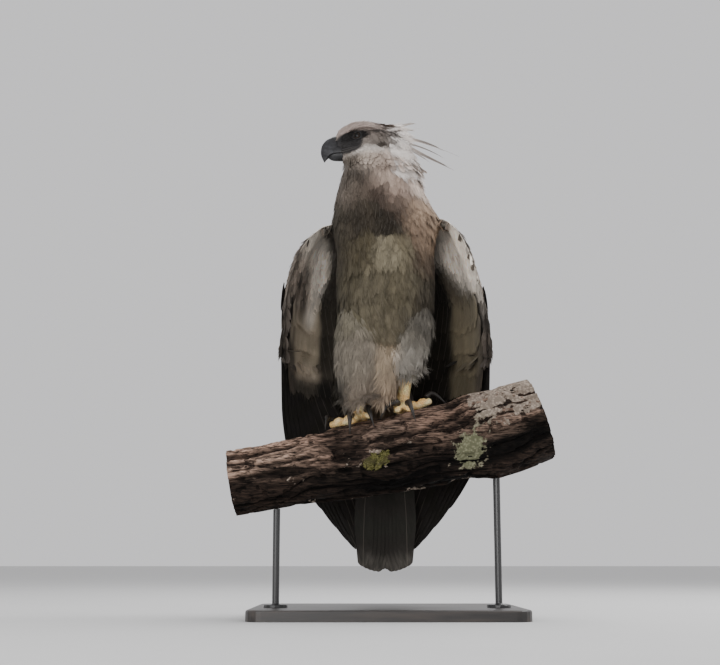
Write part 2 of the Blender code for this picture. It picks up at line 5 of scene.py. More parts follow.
import bmesh
import bpy
import numpy as np
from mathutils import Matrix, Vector
from mathutils.bvhtree import BVHTree
from mathutils.kdtree import KDTree


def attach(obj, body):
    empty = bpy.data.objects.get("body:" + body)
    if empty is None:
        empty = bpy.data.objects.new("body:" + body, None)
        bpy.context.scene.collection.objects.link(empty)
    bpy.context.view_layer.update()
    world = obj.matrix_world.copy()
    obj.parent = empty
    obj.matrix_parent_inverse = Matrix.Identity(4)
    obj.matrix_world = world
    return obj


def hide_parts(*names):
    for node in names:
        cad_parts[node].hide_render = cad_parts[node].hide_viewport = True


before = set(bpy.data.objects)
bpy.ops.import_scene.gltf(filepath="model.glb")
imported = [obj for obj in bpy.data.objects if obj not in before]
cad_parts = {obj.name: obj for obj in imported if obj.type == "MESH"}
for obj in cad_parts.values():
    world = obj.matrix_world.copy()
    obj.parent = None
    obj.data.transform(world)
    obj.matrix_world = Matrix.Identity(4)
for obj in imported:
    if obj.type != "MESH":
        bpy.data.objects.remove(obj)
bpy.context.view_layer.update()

RIGHT, LEFT = -1, 1  # the bird's own right side is at -X
SIDES = ((RIGHT, "right"), (LEFT, "left"))
rng = np.random.default_rng(7)


# Numbers that repeat the solids' design, in metres

PERCH_AXIS = (0.2975, 0.185, 0.13, 0.25)  # height of the branch's axis as a cubic in x
PERCH_HALF_LENGTH = 0.29
PERCH_RADII = (
    (-0.290, 0.0636),
    (-0.198, 0.0655),
    (-0.106, 0.0705),
    (0.000, 0.0725),
    (0.117, 0.0735),
    (0.160, 0.0800),
    (0.215, 0.0810),
    (0.290, 0.0775),
)
PERCH_LUMP = 0.0030

HEAD_CENTRE = Vector((-0.027, -0.028, 0.907))
EYE_PLACE = (0.026, 0.0310, -0.002)
EYE_RADIUS = 0.0115
UPPER_BILL = (
    ((0.0465, 0.0105), (0.0465, -0.0240), 0.0175),
    ((0.058, 0.0110), (0.056, -0.0255), 0.0165),
    ((0.074, 0.0090), (0.070, -0.0275), 0.0135),
    ((0.0875, 0.0035), (0.080, -0.0295), 0.0105),
    ((0.0965, -0.0070), (0.0850, -0.0325), 0.0080),
    ((0.0993, -0.0185), (0.0875, -0.0355), 0.0058),
    ((0.0985, -0.0300), (0.0892, -0.0385), 0.0036),
    ((0.0930, -0.0425), (0.0915, -0.0435), 0.0009),
)
LOWER_BILL = (
    ((0.030, -0.0225), (0.030, -0.0400), 0.0185),
    ((0.048, -0.0242), (0.048, -0.0410), 0.0160),
    ((0.066, -0.0270), (0.064, -0.0410), 0.0122),
    ((0.078, -0.0292), (0.076, -0.0400), 0.0080),
    ((0.0840, -0.0320), (0.0830, -0.0365), 0.0032),
)

# Wings: height, front edge x y, back edge x y, bow, thickness at the front edge and at the back
WING = (
    (0.770, 0.100, 0.004, 0.054, 0.082, 0.016, 0.010, 0.010),
    (0.750, 0.126, -0.030, 0.040, 0.103, 0.034, 0.026, 0.014),
    (0.724, 0.150, -0.056, 0.028, 0.120, 0.050, 0.038, 0.016),
    (0.690, 0.170, -0.066, 0.020, 0.132, 0.058, 0.042, 0.016),
    (0.640, 0.186, -0.058, 0.015, 0.142, 0.062, 0.038, 0.015),
    (0.570, 0.195, -0.034, 0.012, 0.152, 0.062, 0.030, 0.014),
    (0.500, 0.198, 0.004, 0.011, 0.163, 0.058, 0.023, 0.013),
    (0.440, 0.202, 0.050, 0.011, 0.172, 0.050, 0.018, 0.012),
    (0.380, 0.203, 0.090, 0.012, 0.182, 0.040, 0.014, 0.011),
    (0.320, 0.193, 0.112, 0.015, 0.191, 0.030, 0.012, 0.010),
    (0.260, 0.165, 0.132, 0.020, 0.198, 0.021, 0.010, 0.009),
    (0.200, 0.125, 0.150, 0.028, 0.204, 0.013, 0.008, 0.007),
    (0.150, 0.085, 0.172, 0.038, 0.208, 0.007, 0.006, 0.005),
    (0.122, 0.060, 0.192, 0.046, 0.209, 0.002, 0.004, 0.003),
)
WING_DROP = {RIGHT: 0.014, LEFT: 0.0}
WING_TUCK = {RIGHT: 0.045, LEFT: 0.12}
TUCK_HEIGHT, TUCK_REACH = 0.695, 0.11

# Tail: height, centre y, half width
TAIL = (
    (0.470, 0.098, 0.040),
    (0.420, 0.118, 0.056),
    (0.360, 0.1395, 0.064),
    (0.280, 0.1515, 0.066),
    (0.200, 0.1635, 0.064),
    (0.130, 0.1745, 0.058),
    (0.095, 0.1800, 0.049),
    (0.078, 0.1830, 0.036),
)

FOOT_AT = {RIGHT: -0.033, LEFT: 0.0455}
FOOT_FORWARD = math.radians(-10)
TARSUS_TOP = {RIGHT: Vector((-0.030, -0.024, 0.450)), LEFT: Vector((0.0460, -0.018, 0.490))}
TARSUS_RADIUS = 0.0115
PALM_RADIUS = 0.0150
# Toes: heading, length, raise at the end, claw heading, claw length
TOES = {
    RIGHT: (
        (86, 0.062, 0.000, 25, 0.034),
        (22, 0.058, 0.000, 12, 0.034),
        (-20, 0.042, 0.000, -8, 0.040),
        (184, 0.042, 0.003, 184, 0.056),
    ),
    LEFT: (
        (88, 0.059, 0.008, 96, 0.027),
        (12, 0.057, 0.000, 8, 0.034),
        (-13, 0.046, 0.000, -60, 0.036),
        (176, 0.042, 0.003, 176, 0.056),
    ),
}
TOE_NAMES = ("outer", "middle", "inner", "hind")
TOE_RADIUS = 0.0092
CLAW_RADII = (0.0054, 0.0060, 0.0070, 0.0080)
CLEAR = 0.0004  # between pieces that meet


# Plain numeric helpers


def smooth(low, high, x):
    """0 below low, 1 above high, and an even curve between."""
    t = np.clip((np.asarray(x, float) - low) / (high - low), 0, 1)
    return t * t * (3 - 2 * t)


def unit(v):
    """Vectors made one long."""
    return v / np.maximum(np.linalg.norm(v, axis=-1, keepdims=True), 1e-9)


def curve_through(rows, count):
    """count rows on a smooth (Catmull-Rom) curve through the given ones, spaced as they are."""
    rows = np.array(rows, float)
    ends = np.vstack([2 * rows[0] - rows[1], rows, 2 * rows[-1] - rows[-2]])
    at = np.linspace(0, len(rows) - 1, count)
    i = np.minimum(at.astype(int), len(rows) - 2)
    t = (at - i)[:, None]
    a, b, c, d = (ends[i + k] for k in range(4))
    square, cube = 2 * a - 5 * b + 4 * c - d, 3 * b - a - 3 * c + d
    return 0.5 * (2 * b + (c - a) * t + square * t**2 + cube * t**3)


def value_at(rows, x):
    """The smooth curve through rows, read where its first column is x: one column for each other."""
    fine = curve_through(rows, 16 * len(rows))
    order = np.argsort(fine[:, 0])
    x = np.asarray(x, float)
    others = [np.interp(x, fine[order, 0], fine[order, k]) for k in range(1, fine.shape[1])]
    return np.stack(others, axis=-1)


CELL_PRIMES = (73856093, 19349663, 83492791)  # they keep a cell's three indices apart when mixed
SEED_PRIME, MIX_PRIME = 2654435761, 1274126177
LAST_BITS = 0xFFFF


def lattice(cells, seed):
    """A random number from 0 to 1 for each whole-number cell."""
    x, y, z = (cells[..., k].astype(np.uint64) * np.uint64(CELL_PRIMES[k]) for k in range(3))
    h = x ^ y ^ z ^ np.uint64(seed * SEED_PRIME)
    h = (h ^ (h >> np.uint64(13))) * np.uint64(MIX_PRIME)
    h = h ^ (h >> np.uint64(16))
    return (h & np.uint64(LAST_BITS)).astype(float) / LAST_BITS


def cloud(points, size, seed=0):
    """Smooth noise from 0 to 1, whose blobs are about size across (one size, or one for each axis)."""
    q = np.asarray(points, float) / np.asarray(size, float) + 1000.0
    cell = np.floor(q).astype(np.int64)
    part = q - cell
    part = part * part * (3 - 2 * part)
    total = np.zeros(q.shape[:-1])
    for corner in np.ndindex(2, 2, 2):
        corner = np.array(corner)
        weight = np.prod(np.where(corner, part, 1 - part), axis=-1)
        total += weight * lattice(cell + corner, seed)
    return total


def blend(a, b, amount):
    """Colours from a to b by an amount for each point."""
    amount = np.asarray(amount, float)[..., None]
    return np.asarray(a, float) * (1 - amount) + np.asarray(b, float) * amount


def oval(x, y, centre, reach, inner, outer):
    """1 within the inner share of an oval and 0 beyond the outer share."""
    return 1 - smooth(inner, outer, np.hypot((x - centre[0]) / reach[0], (y - centre[1]) / reach[1]))


def mound(x, y, centre, reach):
    """1 at a centre, with a smooth fall on all sides."""
    return np.exp(-(((x - centre[0]) / reach[0]) ** 2) - ((y - centre[1]) / reach[1]) ** 2)


def perch_radius(along):
    return value_at(PERCH_RADII, along)[..., 0]


def on_perch(along, turn, height=0.0):
    """Points above the branch at an x: turn is 0 on top and grows towards the front."""
    along, turn, height = np.broadcast_arrays(*(np.asarray(v, float) for v in (along, turn, height)))
    a, b, c, d = PERCH_AXIS
    zero = np.zeros_like(along)
    centre = np.stack([along, zero, a + b * along + c * along**2 + d * along**3], axis=-1)
    top = unit(np.stack([-(b + 2 * c * along + 3 * d * along**2), zero, zero + 1], axis=-1))
    out = top * np.cos(turn)[..., None] - np.array((0.0, 1.0, 0.0)) * np.sin(turn)[..., None]
    lump = PERCH_LUMP * (np.sin(2 * turn + 9 * along) + 0.6 * np.sin(3 * turn - 14 * along + 1.0))
    return centre + out * (perch_radius(along) + lump + height)[..., None]


# The head's frame runs towards the bill, to the bird's left and up: the world turned half round
HALF_TURN = np.array((-1.0, -1.0, 1.0))


def to_world(points):
    """Points of the head's frame in the world."""
    return np.asarray(points, float) * HALF_TURN + np.array(HEAD_CENTRE)


def head_place(point):
    """One point of the head's frame as a vector in the world."""
    return Vector(to_world(point))


def in_head_frame(points):
    """World points in the head's frame."""
    return (np.asarray(points, float) - np.array(HEAD_CENTRE)) * HALF_TURN


# Meshes and materials


def new_object(name, data):
    obj = bpy.data.objects.new(name, data)
    bpy.context.scene.collection.objects.link(obj)
    return obj


def make_object(name, mesh, surface, slot, *nodes):
    """A visible piece with its finish, and the solids that it stands in for."""
    obj = new_object(name, mesh)
    mesh.materials.clear()
    mesh.materials.append(surface)
    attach(obj, "root")
    if nodes:
        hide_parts(*nodes)
    return obj


def mesh_of(name, points, faces):
    """A smooth mesh whose faces all look outwards."""
    mesh = bpy.data.meshes.new(name)
    mesh.from_pydata([tuple(p) for p in np.asarray(points).reshape(-1, 3)], [], faces)
    work = bmesh.new()
    work.from_mesh(mesh)
    bmesh.ops.recalc_face_normals(work, faces=work.faces)
    work.to_mesh(mesh)
    work.free()
    mesh.shade_smooth()
    return mesh


def loft_faces(count, around):
    """Faces between count rings of around points each, then a cap at the first ring and at the last."""
    faces = []
    for i in range(count - 1):
        for j in range(around):
            k = (j + 1) % around
            faces.append((i * around + j, i * around + k, (i + 1) * around + k, (i + 1) * around + j))
    faces.append(tuple(range(around))[::-1])
    faces.append(tuple(range((count - 1) * around, count * around)))
    return faces


def loft_mesh(name, rings):
    """A closed skin over rings of equal length, with a flat cap at each end."""
    rings = np.array(rings, float)
    return mesh_of(name, rings, loft_faces(*rings.shape[:2]))


def ball_mesh(name, subdivisions, radius):
    work = bmesh.new()
    bmesh.ops.create_icosphere(work, subdivisions=subdivisions, radius=radius)
    mesh = bpy.data.meshes.new(name)
    work.to_mesh(mesh)
    work.free()
    return mesh


def scaled(rings, scale):
    """Rings scaled about their own middles."""
    middle = rings.mean(axis=1, keepdims=True)
    return middle + (rings - middle) * scale


def tube_rings(path, radii, around, up=(0.0, 0.0, 1.0)):
    """Rings square to a path of points, with a radius for each."""
    path = np.array(path, float)
    along = unit(np.gradient(path, axis=0))
    side = unit(np.cross(along, np.array(up, float)))
    top = np.cross(side, along)
    turn = np.linspace(0, 2 * math.pi, around, endpoint=False)
    ring = side[:, None] * np.cos(turn)[None, :, None] + top[:, None] * np.sin(turn)[None, :, None]
    return path[:, None] + np.array(radii, float)[:, None, None] * ring


def colour_attribute(mesh, name, colours):
    """Stores a colour for each point, or one for all of them."""
    layer = mesh.color_attributes.new(name, "FLOAT_COLOR", "POINT")
    full = np.ones((len(mesh.vertices), 4))
    full[:, :3] = colours
    layer.data.foreach_set("color", full.ravel())


def read_vertices(mesh, field):
    out = np.empty(len(mesh.vertices) * 3)
    mesh.vertices.foreach_get(field, out)
    return out.reshape(-1, 3)


def points_of(mesh):
    return read_vertices(mesh, "co")


def normals_of(mesh):
    return read_vertices(mesh, "normal")


def set_points(mesh, points):
    mesh.vertices.foreach_set("co", np.asarray(points, float).ravel())
    mesh.update()


class Shader:
    """A Principled material with short ways to add the nodes that drive it."""

    def __init__(self, name, **values):
        self.material = bpy.data.materials.new(name)
        self.material.use_nodes = True
        self.tree = self.material.node_tree
        self.main = self.tree.nodes["Principled BSDF"]
        for key, value in values.items():
            self.main.inputs[key.replace("_", " ")].default_value = value

    def node(self, kind, **values):
        made = self.tree.nodes.new(kind)
        for key, value in values.items():
            setattr(made, key, value)
        return made

    def link(self, source, target):
        self.tree.links.new(source, target)

    def feed(self, target, value):
        """Links a socket, or sets a plain value."""
        if isinstance(value, bpy.types.NodeSocket):
            self.link(value, target)
        else:
            target.default_value = value

    def attribute(self, name):
        return self.node("ShaderNodeAttribute", attribute_name=name).outputs["Color"]

    def place(self):
        return self.node("ShaderNodeTexCoord").outputs["Object"]

    def stretched(self, scale):
        made = self.node("ShaderNodeMapping")
        self.link(self.place(), made.inputs["Vector"])
        made.inputs["Scale"].default_value = scale
        return made.outputs["Vector"]

    def noise(self, vector, scale, detail=4.0, roughness=0.55):
        made = self.node("ShaderNodeTexNoise")
        self.link(vector, made.inputs["Vector"])
        made.inputs["Scale"].default_value = scale
        made.inputs["Detail"].default_value = detail
        made.inputs["Roughness"].default_value = roughness
        return made.outputs["Fac"]

    def cells(self, vector, scale, feature="F1"):
        made = self.node("ShaderNodeTexVoronoi", feature=feature)
        self.link(vector, made.inputs["Vector"])
        made.inputs["Scale"].default_value = scale
        return made.outputs["Distance"]

    def maths(self, operation, a, b=0.0):
        made = self.node("ShaderNodeMath", operation=operation)
        self.feed(made.inputs[0], a)
        self.feed(made.inputs[1], b)
        return made.outputs[0]

    def frayed(self, mask, noise, amount):
        """A mask whose edge a noise moves in and out."""
        return self.maths("ADD", mask, self.maths("MULTIPLY", self.maths("SUBTRACT", noise, 0.5), amount))

    def span(self, value, low, high, to_low=0.0, to_high=1.0):
        made = self.node("ShaderNodeMapRange", interpolation_type="SMOOTHSTEP")
        self.link(value, made.inputs["Value"])
        ends = {"From Min": low, "From Max": high, "To Min": to_low, "To Max": to_high}
        for key, number in ends.items():
            made.inputs[key].default_value = number
        return made.outputs["Result"]

    def mix(self, amount, a, b, way="MIX"):
        made = self.node("ShaderNodeMix", data_type="RGBA", blend_type=way)
        self.feed(made.inputs["Factor"], amount)
        self.feed(made.inputs["A"], a if isinstance(a, bpy.types.NodeSocket) else (*a, 1.0))
        self.feed(made.inputs["B"], b if isinstance(b, bpy.types.NodeSocket) else (*b, 1.0))
        return made.outputs["Result"]

    def parts(self, vector):
        made = self.node("ShaderNodeSeparateXYZ")
        self.link(vector, made.inputs[0])
        return made.outputs

    def uv(self, name):
        return self.node("ShaderNodeUVMap", uv_map=name).outputs["UV"]

    def colour(self, value):
        self.feed(self.main.inputs["Base Color"], value)

    def rough(self, value):
        self.link(value, self.main.inputs["Roughness"])

    def bump(self, height, distance, strength=1.0):
        made = self.node("ShaderNodeBump")
        self.link(height, made.inputs["Height"])
        made.inputs["Distance"].default_value = distance
        made.inputs["Strength"].default_value = strength
        self.link(made.outputs["Normal"], self.main.inputs["Normal"])


def feather_material(name):
    """Feather vane: the stored tint, with a paler shaft and fine slanting barbs."""
    s = Shader(name, Roughness=0.85, Sheen_Weight=0.05, Sheen_Roughness=0.6, Specular_IOR_Level=0.12)
    uv = s.parts(s.uv("Vane"))
    across = s.maths("ABSOLUTE", s.maths("SUBTRACT", uv["X"], 0.5))
    slant = s.maths("SUBTRACT", s.maths("MULTIPLY", uv["Y"], 46.0), s.maths("MULTIPLY", across, 22.0))
    barbs = s.maths("SINE", s.maths("MULTIPLY", slant, 2 * math.pi))
    grain = s.noise(s.place(), 900.0, 2.0)
    shade = s.maths("ADD", s.maths("MULTIPLY", barbs, 0.05), s.span(grain, 0.3, 0.7, 0.88, 1.12))
    scaled = s.node("ShaderNodeVectorMath", operation="SCALE")
    s.link(s.attribute("tint"), scaled.inputs[0])
    s.link(shade, scaled.inputs["Scale"])
    shaft = s.span(across, 0.0, 0.035, 1.0, 0.0)
    s.colour(s.mix(s.maths("MULTIPLY", shaft, 0.18), scaled.outputs[0], (0.30, 0.26, 0.22)))
    s.bump(s.maths("ADD", barbs, s.maths("MULTIPLY", shaft, 2.0)), 0.00012, 0.5)
    return s.material


def skin_material():
    """Bare skin under and between the feathers: the coat's own tint, finely wrinkled."""
    s = Shader("bare_skin", Roughness=0.55, Specular_IOR_Level=0.3)
    grain = s.cells(s.place(), 900.0)
    wrinkle = s.noise(s.stretched((1.0, 1.0, 2.5)), 260.0, 5.0)
    s.colour(s.mix(s.span(wrinkle, 0.35, 0.7, 0.0, 0.25), s.attribute("tint"), (0.03, 0.028, 0.028)))
    s.bump(s.maths("ADD", grain, wrinkle), 0.0004, 0.6)
    return s.material


def horn_material(name, dark, pale, roughness):
    """Smooth horn in thin growth layers, stored as tint along its length."""
    s = Shader(name, Roughness=roughness, Specular_IOR_Level=0.35, Coat_Weight=0.12, Coat_Roughness=0.25)
    streak = s.noise(s.stretched((90.0, 90.0, 420.0)), 1.0, 6.0)
    patch = s.noise(s.place(), 140.0, 3.0)
    colour = s.mix(s.span(s.maths("ADD", streak, patch), 0.75, 1.35), dark, pale)
    s.colour(s.mix(0.5, colour, s.mix(1.0, colour, s.attribute("tint"), "MULTIPLY")))
    s.rough(s.span(streak, 0.3, 0.75, roughness - 0.08, roughness + 0.18))
    s.bump(streak, 0.00025, 0.5)
    return s.material


def eye_material():
    """A wet eyeball, its iris and pupil stored as tint."""
    s = Shader("eye_wet", Roughness=0.25, Coat_Weight=0.10, Coat_Roughness=0.03, Specular_IOR_Level=0.15)
    s.colour(s.attribute("tint"))
    return s.material


def leg_material():
    """Yellow scaly skin with darker seams and a dusty wash."""
    s = Shader("leg_scales", Roughness=0.5, Specular_IOR_Level=0.4, Subsurface_Weight=0.08)
    s.main.inputs["Subsurface Radius"].default_value = (0.004, 0.002, 0.001)
    place = s.place()
    scale = s.cells(place, 300.0)
    edge = s.cells(place, 300.0, feature="DISTANCE_TO_EDGE")
    seam = s.span(edge, 0.0, 0.12, 1.0, 0.0)
    wash = s.noise(place, 70.0, 4.0)
    colour = s.mix(s.span(wash, 0.35, 0.7), s.attribute("tint"), (0.92, 0.58, 0.22))
    s.colour(s.mix(s.maths("MULTIPLY", seam, 0.6), colour, (0.36, 0.18, 0.06)))
    relief = s.maths("SUBTRACT", s.maths("MULTIPLY", edge, 2.0), s.maths("MULTIPLY", scale, 0.4))
    s.bump(relief, 0.0007, 0.8)
    return s.material


def bark_material():
    """Dark weathered bark.

    The tint holds the ridges' tone with its painted shade and painted light, and growth holds lichen, moss
    and how green the lichen is.
    """
    s = Shader("bark_ridged", Roughness=0.92, Specular_IOR_Level=0.15)
    place = s.place()
    fibre = s.noise(s.stretched((45.0, 380.0, 380.0)), 1.0, 8.0, 0.65)
    fine = s.noise(place, 700.0, 4.0)
    tone = s.mix(s.span(fibre, 0.36, 0.66), (0.010, 0.008, 0.007), (0.200, 0.158, 0.134))
    tone = s.mix(1.0, tone, s.attribute("tint"), "MULTIPLY")
    growth = s.parts(s.attribute("growth"))
    crust = s.cells(place, 230.0, feature="SMOOTH_F1")
    blotch = s.noise(place, 90.0, 6.0, 0.65)
    pale = s.mix(s.span(crust, 0.10, 0.55), (0.46, 0.38, 0.31), (0.24, 0.195, 0.155))
    green = s.mix(s.span(crust, 0.10, 0.55), (0.27, 0.27, 0.17), (0.13, 0.135, 0.075))
    crusted = s.mix(growth["Z"], pale, green)
    crusted = s.mix(s.span(fine, 0.35, 0.7, 0.0, 0.35), crusted, (0.10, 0.08, 0.07))
    tone = s.mix(s.span(s.frayed(growth["X"], blotch, 1.9), 0.46, 0.56), tone, crusted)
    moss = s.frayed(growth["Y"], blotch, 1.2)
    tone = s.mix(s.span(moss, 0.5, 0.9, 0.0, 0.8), tone, (0.060, 0.057, 0.022))
    s.colour(tone)
    s.bump(s.maths("ADD", fibre, s.maths("MULTIPLY", fine, 0.5)), 0.0024, 0.9)
    return s.material


def end_grain_material():
    """Weathered sawn wood. The tint holds the distance from the heart, as a share, and the angle."""
    s = Shader("sawn_end", Roughness=0.85, Specular_IOR_Level=0.2)
    place = s.place()
    spot = s.parts(s.attribute("tint"))
    drift = s.maths("MULTIPLY", s.noise(place, 28.0, 3.0), 4.0)
    ring = s.maths("SINE", s.maths("ADD", s.maths("MULTIPLY", spot["X"], 150.0), drift))
    fleck = s.noise(place, 500.0, 4.0)
    wood = s.mix(s.span(ring, -0.6, 0.9), (0.235, 0.175, 0.125), (0.345, 0.275, 0.205))
    wood = s.mix(s.span(spot["X"], 0.62, 0.15, 0.0, 0.45), wood, (0.15, 0.095, 0.062))
    crack = s.maths("SINE", s.maths("ADD", s.maths("MULTIPLY", spot["Y"], 44.0), drift))
    wood = s.mix(s.span(crack, 0.965, 0.995, 0.0, 0.7), wood, (0.05, 0.035, 0.025))
    wood = s.mix(s.span(spot["X"], 0.93, 0.97), wood, (0.05, 0.037, 0.030))
    s.colour(s.mix(s.span(fleck, 0.4, 0.7, 0.0, 0.4), wood, (0.14, 0.10, 0.07)))
    s.bump(s.maths("ADD", fleck, s.maths("MULTIPLY", ring, 0.15)), 0.0006, 0.5)
    return s.material


def stand_wood_material():
    """Black-stained board with its grain showing, under a satin coat."""
    s = Shader("stained_board", Roughness=0.4, Coat_Weight=0.2, Coat_Roughness=0.3)
    grain = s.noise(s.stretched((6.0, 90.0, 60.0)), 1.0, 8.0, 0.6)
    s.colour(s.mix(s.span(grain, 0.35, 0.7), (0.012, 0.010, 0.009), (0.045, 0.034, 0.028)))
    s.rough(s.span(grain, 0.3, 0.7, 0.34, 0.5))
    s.bump(grain, 0.0004, 0.4)
    return s.material


def rod_material():
    """Black paint with a faint orange-peel grain."""
    s = Shader("black_paint", Roughness=0.38, Coat_Weight=0.3, Coat_Roughness=0.25)
    speck = s.noise(s.place(), 600.0, 3.0)
    s.colour(s.mix(s.span(speck, 0.4, 0.7), (0.018, 0.018, 0.019), (0.032, 0.031, 0.031)))
    s.rough(s.span(speck, 0.3, 0.7, 0.32, 0.46))
    s.bump(speck, 0.0001, 0.3)
    return s.material


def moss_material():
    """Moss in its stored tint, with darker hollows."""
    s = Shader("moss_cushion", Roughness=0.9, Specular_IOR_Level=0.2)
    hollow = s.span(s.noise(s.place(), 400.0), 0.3, 0.7)
    s.colour(s.mix(hollow, s.attribute("tint"), (0.05, 0.055, 0.012)))
    return s.material


def floor_material():
    s = Shader("pale_floor", Roughness=0.9, Specular_IOR_Level=0.1)
    s.colour(s.mix(s.noise(s.place(), 3.0), (0.60, 0.60, 0.60), (0.64, 0.64, 0.635)))
    return s.material


# Markings: one set of rules for the skin and for the feathers over it

PALE = (0.52, 0.46, 0.40)
BUFF = (0.40, 0.320, 0.280)
WHITE = (0.74, 0.69, 0.63)
SOOT = (0.004, 0.003, 0.003)
SLATE = (0.024, 0.022, 0.022)
MANTLE = (0.19, 0.165, 0.148)
# Near black for painted shade on the wings' inner faces
SHADE_DARK = (0.009, 0.008, 0.007)
NAPE = (0.84, 0.78, 0.73)
NECK_BACK = (0.86, 0.79, 0.73)
# The ear opening's painted shade
EAR_OPENING_SHADE = (0.040, 0.032, 0.026)
# The pale front edge of the wings, brighter than white as a painted highlight
PALE_BAND_HIGHLIGHT = (1.10, 1.00, 0.87)
WING_RIM = (0.065, 0.052, 0.040)
WING_BROWN, WING_SPECKLE = (0.060, 0.048, 0.038), (0.30, 0.245, 0.198)
# Coverts inside each wing's pale edge, high up and low down, on the bird's left and on its right
UPPER_LINING = ((0.085, 0.070, 0.050), (0.60, 0.50, 0.38))
LOWER_LINING = ((0.20, 0.166, 0.108), (0.48, 0.40, 0.29))

# Ovals on the side of the head: centre and reach (forwards, up), and the shares between which each fades
EYE_MASK = ((0.036, -0.0005), (0.036, 0.0122), 0.70, 1.15)
# A thin dark streak behind the eye: dark feathers with the brow's painted shadow
EYE_STREAK_SHADOW = ((-0.004, 0.005), (0.026, 0.0035), 0.6, 1.2)
BARE_LORES = ((0.050, -0.0160), (0.036, 0.0178), 0.8, 1.1)
CHEEK = ((0.004, -0.038), (0.038, 0.016), 0.6, 1.3)
TEMPLE = ((-0.024, -0.012), (0.050, 0.026), 0.4, 1.4)
EAR = ((-0.019, -0.020), (0.013, 0.010), 0.3, 1.2)

# Soft spots of colour on the bird's front, as x, height and colour, from the throat down. All are darker
# than the plumage as painted shade, with more painted shade and some painted light as noted.
FRONT_MARKS_SHADE_AND_LIGHT = (
    # Throat and the bird's right side of the neck in painted shade, and the pale left side of the neck with
    # a painted highlight
    (-0.068, 0.852, (0.20, 0.168, 0.138)),
    (-0.036, 0.858, (0.74, 0.64, 0.55)),
    (-0.008, 0.846, (0.56, 0.46, 0.39)),
    (0.024, 0.846, (0.80, 0.68, 0.60)),
    (0.055, 0.850, (1.00, 0.91, 0.84)),
    # Painted shade under the chin and the cheeks
    (-0.058, 0.824, (0.075, 0.062, 0.050)),
    (-0.034, 0.826, (0.15, 0.120, 0.098)),
    (-0.002, 0.818, (0.76, 0.61, 0.51)),
    (0.028, 0.812, (0.56, 0.45, 0.38)),
    # Grey-brown collar, its pale end on the bird's left with a painted highlight
    (-0.084, 0.800, (0.24, 0.200, 0.165)),
    (-0.050, 0.790, (0.175, 0.140, 0.112)),
    (-0.018, 0.790, (0.100, 0.072, 0.056)),
    (0.026, 0.788, (0.52, 0.40, 0.33)),
    (0.060, 0.805, (1.00, 0.85, 0.74)),
    # Dark breast band, paler towards the bird's left
    (-0.090, 0.730, (0.090, 0.074, 0.052)),
    (-0.045, 0.740, (0.070, 0.056, 0.040)),
    (0.000, 0.722, (0.046, 0.037, 0.026)),
    (0.025, 0.755, (0.105, 0.075, 0.056)),
    (0.060, 0.745, (0.44, 0.325, 0.235)),
    (0.078, 0.700, (0.40, 0.29, 0.20)),
    # Olive breast, darker at its sides as painted shade beside the wings
    (-0.085, 0.670, (0.085, 0.069, 0.043)),
    (-0.045, 0.665, (0.115, 0.096, 0.060)),
    (0.000, 0.660, (0.300, 0.265, 0.190)),
    (0.030, 0.670, (0.210, 0.180, 0.120)),
    (0.066, 0.705, (0.200, 0.140, 0.100)),
    (0.070, 0.660, (0.105, 0.074, 0.048)),
    # Belly, darker at its sides as painted shade beside the wings
    (-0.080, 0.600, (0.115, 0.098, 0.063)),
    (-0.030, 0.590, (0.190, 0.165, 0.115)),
    (0.030, 0.590, (0.165, 0.142, 0.096)),
    (0.080, 0.580, (0.085, 0.070, 0.047)),
    (-0.070, 0.530, (0.210, 0.185, 0.125)),
    (-0.010, 0.530, (0.180, 0.155, 0.108)),
    (0.060, 0.530, (0.100, 0.087, 0.063)),
    # Pale fluff of the lower belly and between the legs
    (-0.080, 0.465, (0.220, 0.190, 0.145)),
    (-0.045, 0.470, (0.310, 0.265, 0.205)),
    (-0.005, 0.465, (0.440, 0.345, 0.240)),
    (0.050, 0.480, (0.200, 0.180, 0.140)),
    # Painted shade low on the bird's right
    (-0.090, 0.405, (0.100, 0.084, 0.060)),
    (-0.045, 0.400, (0.330, 0.265, 0.200)),
    (0.000, 0.400, (0.500, 0.380, 0.265)),
)
MARK_REACH = (0.023, 0.027)
MARK_CONTRAST = 1.14

# The trunk's middle: height, and how far back it lies
TRUNK_LEAN = (
    (0.33, 0.122),
    (0.42, 0.074),
    (0.50, 0.022),
    (0.62, -0.007),
    (0.77, 0.001),
    (0.90, -0.018),
)


def head_masks(points):
    """How much each point belongs to the dark mask, to the bare cere and to the white cheek."""
    forward, side, up = in_head_frame(points).T
    mask = np.maximum(oval(forward, up, *EYE_MASK), 0.7 * oval(forward, up, *EYE_STREAK_SHADOW))
    mask = mask * smooth(0.004, 0.010, np.abs(side))
    return mask, oval(forward, up, *BARE_LORES), oval(forward, up, *CHEEK)


def head_tint(points):
    """Streaked buff crown, pale nape, dusky temple, the ear opening in painted shade, white cheek, and the
    dark face.
    """
    h = in_head_frame(points)
    forward, _, up = h.T
    mask, bare, cheek = head_masks(points)
    colour = blend(BUFF, PALE, smooth(0.012, -0.02, up) * 0.7)
    behind = smooth(-0.020, -0.055, forward) * (0.95 - 0.45 * smooth(0.01, 0.035, up))
    colour = blend(colour, NAPE, behind)
    streaks = cloud(h, (0.022, 0.0045, 0.0045), 3)
    colour = colour * (0.62 + 0.60 * streaks)[:, None]
    colour = colour * (1 - 0.56 * oval(forward, up, *TEMPLE))[:, None]
    colour = blend(colour, WHITE, cheek * 0.66)
    colour = blend(colour, EAR_OPENING_SHADE, oval(forward, up, *EAR) * 0.9)
    return blend(blend(colour, SLATE, bare), SOOT, mask)


